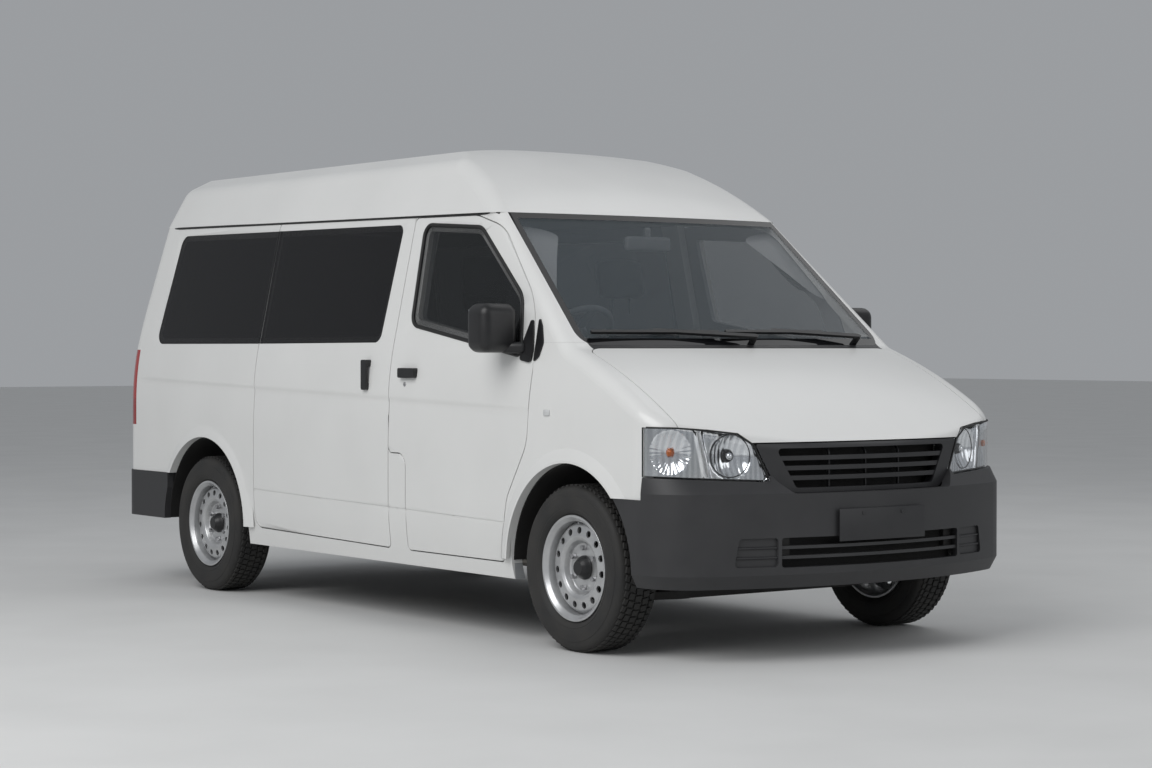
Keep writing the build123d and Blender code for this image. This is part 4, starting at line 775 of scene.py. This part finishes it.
# front bay: splash trays between the rails, battery, washer bottle
bay = {"trays": ((-0.490, -0.070), (0.070, 0.420)), "trayHalf": 0.392, "trayZ": 0.336,
       "trayThick": 0.004, "shelf": (0.370, -0.335, 0.504), "shelfSize": (0.205, 0.270, 0.006),
       "battery": ((0.375, -0.330, 0.602), (0.175, 0.240, 0.190)), "lidInset": 0.02, "lidTall": 0.014,
       "post": (0.055, 0.085), "postSize": (0.018, 0.018, 0.022),
       "bottle": ((-0.375, -0.340, 0.594), (0.150, 0.210, 0.172))}
bm = bmesh.new()
for y0, y1 in bay["trays"]:
    addBlock(bm, (0, fromAxle((y0 + y1) / 2), bay["trayZ"]),
             (bay["trayHalf"] * 2, y1 - y0, bay["trayThick"]))
x, y, z = bay["shelf"]
for sign in (1, -1):
    addBlock(bm, (sign * x, fromAxle(y), z), bay["shelfSize"], 0.002, 2)
makePiece("bayTray", bm, "body", linerBlack, 30)
(x, y, z), size = bay["battery"]
top = z + size[2] / 2
lidSize = (size[0] - bay["lidInset"], size[1] - bay["lidInset"], bay["lidTall"])
postIn, postAcross = bay["post"]
bm = bmesh.new()
addBlocks(bm, (((x, y, z), size, 0.006, 3), ((x, y, top + 0.004), lidSize, 0.003, 2),
               ((x - postIn, y - postAcross, top + 0.020), bay["postSize"], 0.004, 2),
               ((x - postIn, y + postAcross, top + 0.020), bay["postSize"], 0.004, 2)))
makePiece("bayBattery", bm, "body", trimBlack, 30)
bm = bmesh.new()
addBlocks(bm, ((*bay["bottle"], 0.022, 4),))
makePiece("washerBottle", bm, "body", markerLens, 30)
print("front bay dressed")

# door cards: armrest, pocket, pull and inner release on each front door
# rows are (y, height, length, depth, tallness)
doorCard = {"wall": 0.050, "sink": 0.008, "bevel": 0.35,
            "rows": ((0.960, 0.955, 0.385, 0.060, 0.052), (0.830, 0.620, 0.520, 0.036, 0.130),
                     (0.800, 1.015, 0.130, 0.030, 0.026), (0.640, 0.985, 0.085, 0.016, 0.040))}
for sideName, sign in bothSides:
    bm = bmesh.new()
    for y, z, long, deep, tall in doorCard["rows"]:
        x = skinX(z) - doorCard["wall"] - deep / 2 + doorCard["sink"] / 2
        addBlock(bm, (sign * x, fromAxle(y), z), (deep + doorCard["sink"], long, tall),
                 min(deep, tall) * doorCard["bevel"], 4)
    makePiece("doorCard_" + sideName, bm, "front_door_" + sideName, dashPlastic, 40)
print("door cards made")

# front window seals on the doors
windowSeal = {"radius": 0.0085, "sink": 0.001,
              "rows": ((0.347, 1.150, 0.025), (0.408, 1.392, 0.120), (0.800, 1.688, 0.110),
                       (1.245, 1.716, 0.045), (1.215, 1.283, 0.060))}
for sideName, sign in bothSides:
    makeTrim("windowSeal_" + sideName, onSkin(windowSeal["rows"], sign, -windowSeal["sink"], 8),
             windowSeal["radius"], "front_door_" + sideName, rubberBlack, True)
print("window seals made")

# dark drip rail under the roof edge, with its ends turned in
drip = {"start": 0.70, "end": 3.72, "radius": 0.0055, "steps": 24, "sink": 0.012, "proud": 0.001,
        "roofY": 0.6, "roofZ": 1.745, "rise": 0.0165, "below": 0.004}
for sideName, sign in bothSides:
    points = []
    for k in range(drip["steps"] + 1):
        y = drip["start"] + (drip["end"] - drip["start"]) * k / drip["steps"]
        z = drip["roofZ"] + drip["rise"] * (y - drip["roofY"]) - drip["below"]
        sink = drip["sink"] if k in (0, drip["steps"]) else 0.0
        points.append((sign * (skinX(z) + drip["proud"] - sink), fromAxle(y), z))
    makeTrim("dripRail_" + sideName, points, drip["radius"], "body", rubberBlack)
print("drip rails made")

# bare number plate with two bolts
plate = {"centre": (0, -0.819, 0.515), "size": (0.44, 0.004, 0.122), "bolt": (0.10, -0.822, 0.557),
         "boltSize": (0.013, 0.005, 0.013)}
bm = bmesh.new()
addBlocks(bm, ((plate["centre"], plate["size"], 0.0015, 2),))
x, y, z = plate["bolt"]
addBlocks(bm, (((-x, y, z), plate["boltSize"], 0.002, 2), ((x, y, z), plate["boltSize"], 0.002, 2)))
makePiece("barePlate", bm, "body", plateGrey, 30)

# mirrors: a rounded shell on a stout arm from the sail plate, and its glass
mirror = {"centre": (0.962, 0.4275, 1.2635), "size": (0.173, 0.145, 0.197), "bevel": 0.044,
          "arm": (0.893, 0.372, 1.185), "armSize": (0.105, 0.060, 0.046), "armTurn": 42,
          "sail": ((0.270, 1.124, 0.018), (0.269, 1.190, 0.060), (0.306, 1.318, 0.010),
                   (0.352, 1.190, 0.008), (0.350, 1.136, 0.012)), "proud": 0.008, "clear": 0.0004,
          "glassSize": (0.128, 0.004, 0.150), "glassSink": 0.0005}
for sideName, sign in bothSides:
    bm = bmesh.new()
    x, y, z = mirror["centre"]
    addBlock(bm, (sign * x, fromAxle(y), z), mirror["size"], mirror["bevel"], 6)
    armX, armY, armZ = mirror["arm"]
    addBlock(bm, (sign * armX, fromAxle(armY), armZ), mirror["armSize"], 0.018, 4,
             Matrix.Rotation(math.radians(sign * mirror["armTurn"]), 3, "Z"))
    addSheet(bm, onSkin(mirror["sail"], sign, mirror["proud"], 6),
             (-sign * (mirror["proud"] - mirror["clear"]), 0, 0))
    makePiece("mirrorShell_" + sideName, bm, "front_door_" + sideName, trimBlack,
              40, ["mirror_" + sideName])
    bm = bmesh.new()
    glassY = fromAxle(y + mirror["size"][1] / 2 - mirror["glassSink"])
    addBlock(bm, (sign * x, glassY, z), mirror["glassSize"], 0.0015, 2)
    makePiece("mirrorGlass_" + sideName, bm, "front_door_" + sideName, chromeBright,
              30)
print("plate and mirrors made")

# cabin mirror and its stem
cabinMirror = {"rows": (((-0.075, 0.560, 1.625), (0.235, 0.035, 0.062), 0.014, 3),
                        ((-0.075, 0.560, 1.665), (0.022, 0.022, 0.060), 0.006, 2))}
bm = bmesh.new()
addBlocks(bm, cabinMirror["rows"])
makePiece("cabinMirror", bm, "body", dashPlastic, 35)

# bars across the blank fog panels
fogBars = {"heights": (0.400, 0.437), "from": 0.470, "to": 0.628, "radius": 0.0045, "steps": 8,
           "front": -0.815, "sink": 0.009}
for sideName, sign in bothSides:
    for index, z in enumerate(fogBars["heights"]):
        points = []
        for k in range(fogBars["steps"] + 1):
            x = fogBars["from"] + (fogBars["to"] - fogBars["from"]) * k / fogBars["steps"]
            points.append((sign * x, fromAxle(fogBars["front"] + noseDrop(x) + fogBars["sink"]), z))
        makeTrim("fogBar%d_%s" % (index, sideName), points, fogBars["radius"], "body", grillePlastic)

# plain dark sheet behind the grille and the lower intake, painted shade standing in for the dark seen
# through the openings: foot, head, half width, y
shadeBacking = {"panels": ((0.650, 0.812, 0.44, -0.690), (0.356, 0.480, 0.46, -0.760)), "steps": 24,
           "thick": 0.002}
bm = bmesh.new()
for z0, z1, half, y in shadeBacking["panels"]:
    for k in range(shadeBacking["steps"]):
        xa = -half + 2 * half * k / shadeBacking["steps"]
        xb = -half + 2 * half * (k + 1) / shadeBacking["steps"]
        ya, yb = (fromAxle(y + noseDrop(x)) for x in (xa, xb))
        quad = ((xa, ya, z0), (xb, yb, z0), (xb, yb, z1), (xa, ya, z1))
        bm.faces.new([bm.verts.new(p) for p in quad])
bmesh.ops.remove_doubles(bm, verts=bm.verts, dist=0.0001)
thicken(bm, list(bm.faces), (0, shadeBacking["thick"], 0))
makePiece("shadeBacking", bm, "body", linerBlack, 30)

# side marker lamps, the sail's fixed corner and the door locks
marker = {"y": 0.144, "z": 0.929, "proud": 0.001, "size": (0.010, 0.040, 0.024)}
sailCorner = {"proud": 0.006, "thick": 0.010,
              "rows": ((0.256, 1.128, 0.006), (0.222, 1.150, 0.020), (0.206, 1.205, 0.030),
                       (0.232, 1.270, 0.020), (0.263, 1.312, 0.006))}
doorLock = {"y": 1.205, "z": 1.028, "rows": ((-0.004, 0.0), (-0.004, 0.0095), (0.002, 0.0095),
                                             (0.003, 0.008), (0.002, 0.006), (0.002, 0.0))}
for sideName, sign in bothSides:
    bm = bmesh.new()
    x = skinX(marker["z"]) + marker["proud"]
    addBlock(bm, (sign * x, fromAxle(marker["y"]), marker["z"]), marker["size"], 0.004, 3)
    makePiece("sideMarker_" + sideName, bm, "body", markerLens, 40)
    bm = bmesh.new()
    addSheet(bm, onSkin(sailCorner["rows"], sign, sailCorner["proud"], 4),
             (-sign * sailCorner["thick"], 0, 0))
    makePiece("sailCorner_" + sideName, bm, "body", trimBlack, 30)
    bm = bmesh.new()
    centre = (sign * skinX(doorLock["z"]), fromAxle(doorLock["y"]), doorLock["z"])
    addTurned(bm, doorLock["rows"], centre, 24, sign)
    makePiece("doorLock_" + sideName, bm, "front_door_" + sideName, nutSteel, 40)
print("small outer pieces made")

# grab handle on the left screen pillar
grab = {"radius": 0.009, "rows": ((0.742, 0.690, 1.592), (0.715, 0.672, 1.580), (0.705, 0.640, 1.556),
                                  (0.705, 0.525, 1.473), (0.717, 0.494, 1.451), (0.750, 0.480, 1.440))}
makeTrim("grabHandle", [(x, fromAxle(y), z) for x, y, z in grab["rows"]], grab["radius"], "body",
         dashPlastic)

# instrument hood and centre stack on the dash
dashHood = {"rows": (((-0.37, 0.445, 1.168), (0.34, 0.20, 0.075), 0.030, 4),
                     ((0.02, 0.545, 1.06), (0.22, 0.11, 0.16), 0.015, 3))}
bm = bmesh.new()
addBlocks(bm, dashHood["rows"])
makePiece("dashHood", bm, "body", dashPlastic, 40)
print("cabin pieces made")

# seats: crowned pads whose sides pull in between the corners
# pads are (back, height, size, corner radius, crown, tilt); stems are (back, height, size)
seats = {"frontX": 0.37, "frontY": 0.745, "benchY": (1.900, 2.760), "headX": (-0.39, 0.0, 0.39),
         "cuts": 11, "pull": 0.030, "channelDeep": 0.012, "channelWide": 0.012, "merge": 0.0004,
         "frontCushion": (0.228, 0.935, (0.475, 0.485, 0.128), 0.045, 0.012, 3.0),
         "frontBack": (0.532, 1.170, (0.445, 0.450, 0.118), 0.045, 0.012, 76.0),
         "frontHead": (0.602, 1.500, (0.250, 0.185, 0.092), 0.042, 0.006, 82.0),
         "frontStem": (0.592, 1.39, (0.012, 0.012, 0.10)),
         "benchCushion": (0.228, 0.917, (1.175, 0.480, 0.130), 0.045, 0.010, 3.0),
         "benchBack": (0.532, 1.140, (1.145, 0.430, 0.118), 0.045, 0.010, 76.0),
         "benchHead": (0.602, 1.447, (0.250, 0.185, 0.092), 0.042, 0.006, 82.0),
         "benchStem": (0.592, 1.35, (0.012, 0.012, 0.08)), "stemX": 0.05,
         "frontChannels": (0.15, 0.14), "benchChannel": 0.195,
         "legX": 0.48, "legY": (0.085, 0.405), "legZ": 0.706, "legSize": (0.05, 0.05, 0.305)}


def addPad(bm, x, y, row, channels=()):
    back, height, size, radius, crown, tilt = row
    centre = Vector((x, fromAxle(y + back), height))
    before = set(bm.verts)
    made = bmesh.ops.create_cube(bm, size=2.0)["verts"]
    edges = linked(made, "link_edges")
    bmesh.ops.subdivide_edges(bm, edges=edges, cuts=seats["cuts"], use_grid_fill=True)
    half = Vector(size) / 2
    turn = Matrix.Rotation(math.radians(tilt), 3, "X")
    for v in [v for v in bm.verts if v not in before]:
        u = Vector(v.co)
        core = Vector([max(-1.0, min(1.0, u[k])) * (half[k] - radius) for k in range(3)])
        away = Vector([u[k] if abs(u[k]) > 0.999 else u[k] ** 5 for k in range(3)])
        away.normalize()
        spot = core + away * radius
        share = [spot[k] / half[k] for k in range(3)]
        spot.z += crown * share[2] * (1 - share[0] ** 2) * (1 - share[1] ** 2)
        spot.x *= 1 - seats["pull"] * (1 - share[1] ** 2)
        spot.y *= 1 - seats["pull"] * (1 - share[0] ** 2)
        for line in channels:
            sunk = math.exp(-((spot.x - line) / seats["channelWide"]) ** 2)
            spot.z -= seats["channelDeep"] * share[2] * sunk
        v.co = turn @ spot + centre


def addHeadrest(bm, x, y, pad, stem):
    addPad(bm, x, y, pad)
    back, height, size = stem
    for side in (-seats["stemX"], seats["stemX"]):
        addBlock(bm, (x + side, fromAxle(y + back), height), size, 0.004, 2)


def makeSeat(name, bm, replaces):
    # the same order, and so the same merges, every run
    for place, v in enumerate(sorted(bm.verts, key=lambda v: tuple(v.co))):
        v.index = place
    bm.verts.sort()
    bmesh.ops.remove_doubles(bm, verts=bm.verts, dist=seats["merge"])
    piece = makePiece(name, bm, "body", seatCloth, 50, replaces)


for sideName, sign in bothSides:
    bm = bmesh.new()
    x = sign * seats["frontX"]
    y = seats["frontY"]
    wide, narrow = seats["frontChannels"]
    addPad(bm, x, y, seats["frontCushion"], (x - wide, x + wide))
    addPad(bm, x, y, seats["frontBack"], (x - narrow, x + narrow))
    addHeadrest(bm, x, y, seats["frontHead"], seats["frontStem"])
    makeSeat("frontSeat_" + sideName, bm, ["front_seats"] if sign > 0 else None)
for index, y in enumerate(seats["benchY"]):
    bm = bmesh.new()
    channels = (-seats["benchChannel"], seats["benchChannel"])
    addPad(bm, 0, y, seats["benchCushion"], channels)
    addPad(bm, 0, y, seats["benchBack"], channels)
    for x in seats["headX"]:
        addHeadrest(bm, x, y, seats["benchHead"], seats["benchStem"])
    for x in (-seats["legX"], seats["legX"]):
        for leg in seats["legY"]:
            addBlock(bm, (x, fromAxle(y + leg), seats["legZ"]), seats["legSize"], 0.006, 2)
    makeSeat("bench%d" % index, bm, ["rear_seats"] if index == 0 else None)
print("seats made")

# tailgate pull
pull = {"z": 0.845, "sink": 0.004, "size": (0.26, 0.022, 0.040)}
tailLow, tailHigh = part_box("tailgate")
bm = bmesh.new()
addBlock(bm, (0, tailHigh.y - pull["sink"], pull["z"]), pull["size"], 0.008, 3)
makePiece("tailgatePull", bm, "tailgate", trimBlack, 35)
print("tailgate pull made")

# stage, light and camera
floorMesh = bpy.data.meshes.new("floor")
bm = bmesh.new()
bmesh.ops.create_grid(bm, x_segments=2, y_segments=2, size=60.0)
bm.to_mesh(floorMesh)
bm.free()
floor = bpy.data.objects.new("floor", floorMesh)
bpy.context.scene.collection.objects.link(floor)
paleFloor = plainFinish("paleFloor", (0.70, 0.70, 0.69), (0.74, 0.74, 0.73), (0.8, 0.9), 1.5)
floorMesh.materials.append(paleFloor)

world = bpy.data.worlds.new("studio")
bpy.context.scene.world = world
world.use_nodes = True
background = world.node_tree.nodes["Background"]
background.inputs["Color"].default_value = (0.86, 0.89, 0.93, 1)
background.inputs["Strength"].default_value = 0.38

# place, size and power of each lamp; all face the van's middle
lights = {"key": ((-8.0, -3.0, 7.0), 8.0, 520.0), "front": ((2.5, -9.5, 4.0), 6.0, 90.0),
          "skyPanel": ((5.4, -0.4, 7.6), 7.0, 85.0)}
for name, (place, size, power) in lights.items():
    lightData = bpy.data.lights.new(name, "AREA")
    lightData.shape = "DISK"
    lightData.size = size
    lightData.energy = power
    light = bpy.data.objects.new(name, lightData)
    light.location = place
    light.rotation_euler = (Vector((0, 0, 0.8)) - Vector(place)).to_track_quat("-Z", "Y").to_euler()
    bpy.context.scene.collection.objects.link(light)

# the camera solved for the photograph
photoView = {"place": (-6.479, -9.320, 1.187), "lens": 77.07, "sensor": 36.0, "down": 0.8557,
             "turn": -35.911}
cameraData = bpy.data.cameras.new("photoView")
cameraData.sensor_width = photoView["sensor"]
cameraData.lens = photoView["lens"]
camera = bpy.data.objects.new("photoView", cameraData)
camera.location = photoView["place"]
camera.rotation_euler = (math.radians(90 - photoView["down"]), 0, math.radians(photoView["turn"]))
bpy.context.scene.collection.objects.link(camera)
bpy.context.scene.camera = camera
bpy.context.scene.view_settings.view_transform = "Standard"
print("stage set")
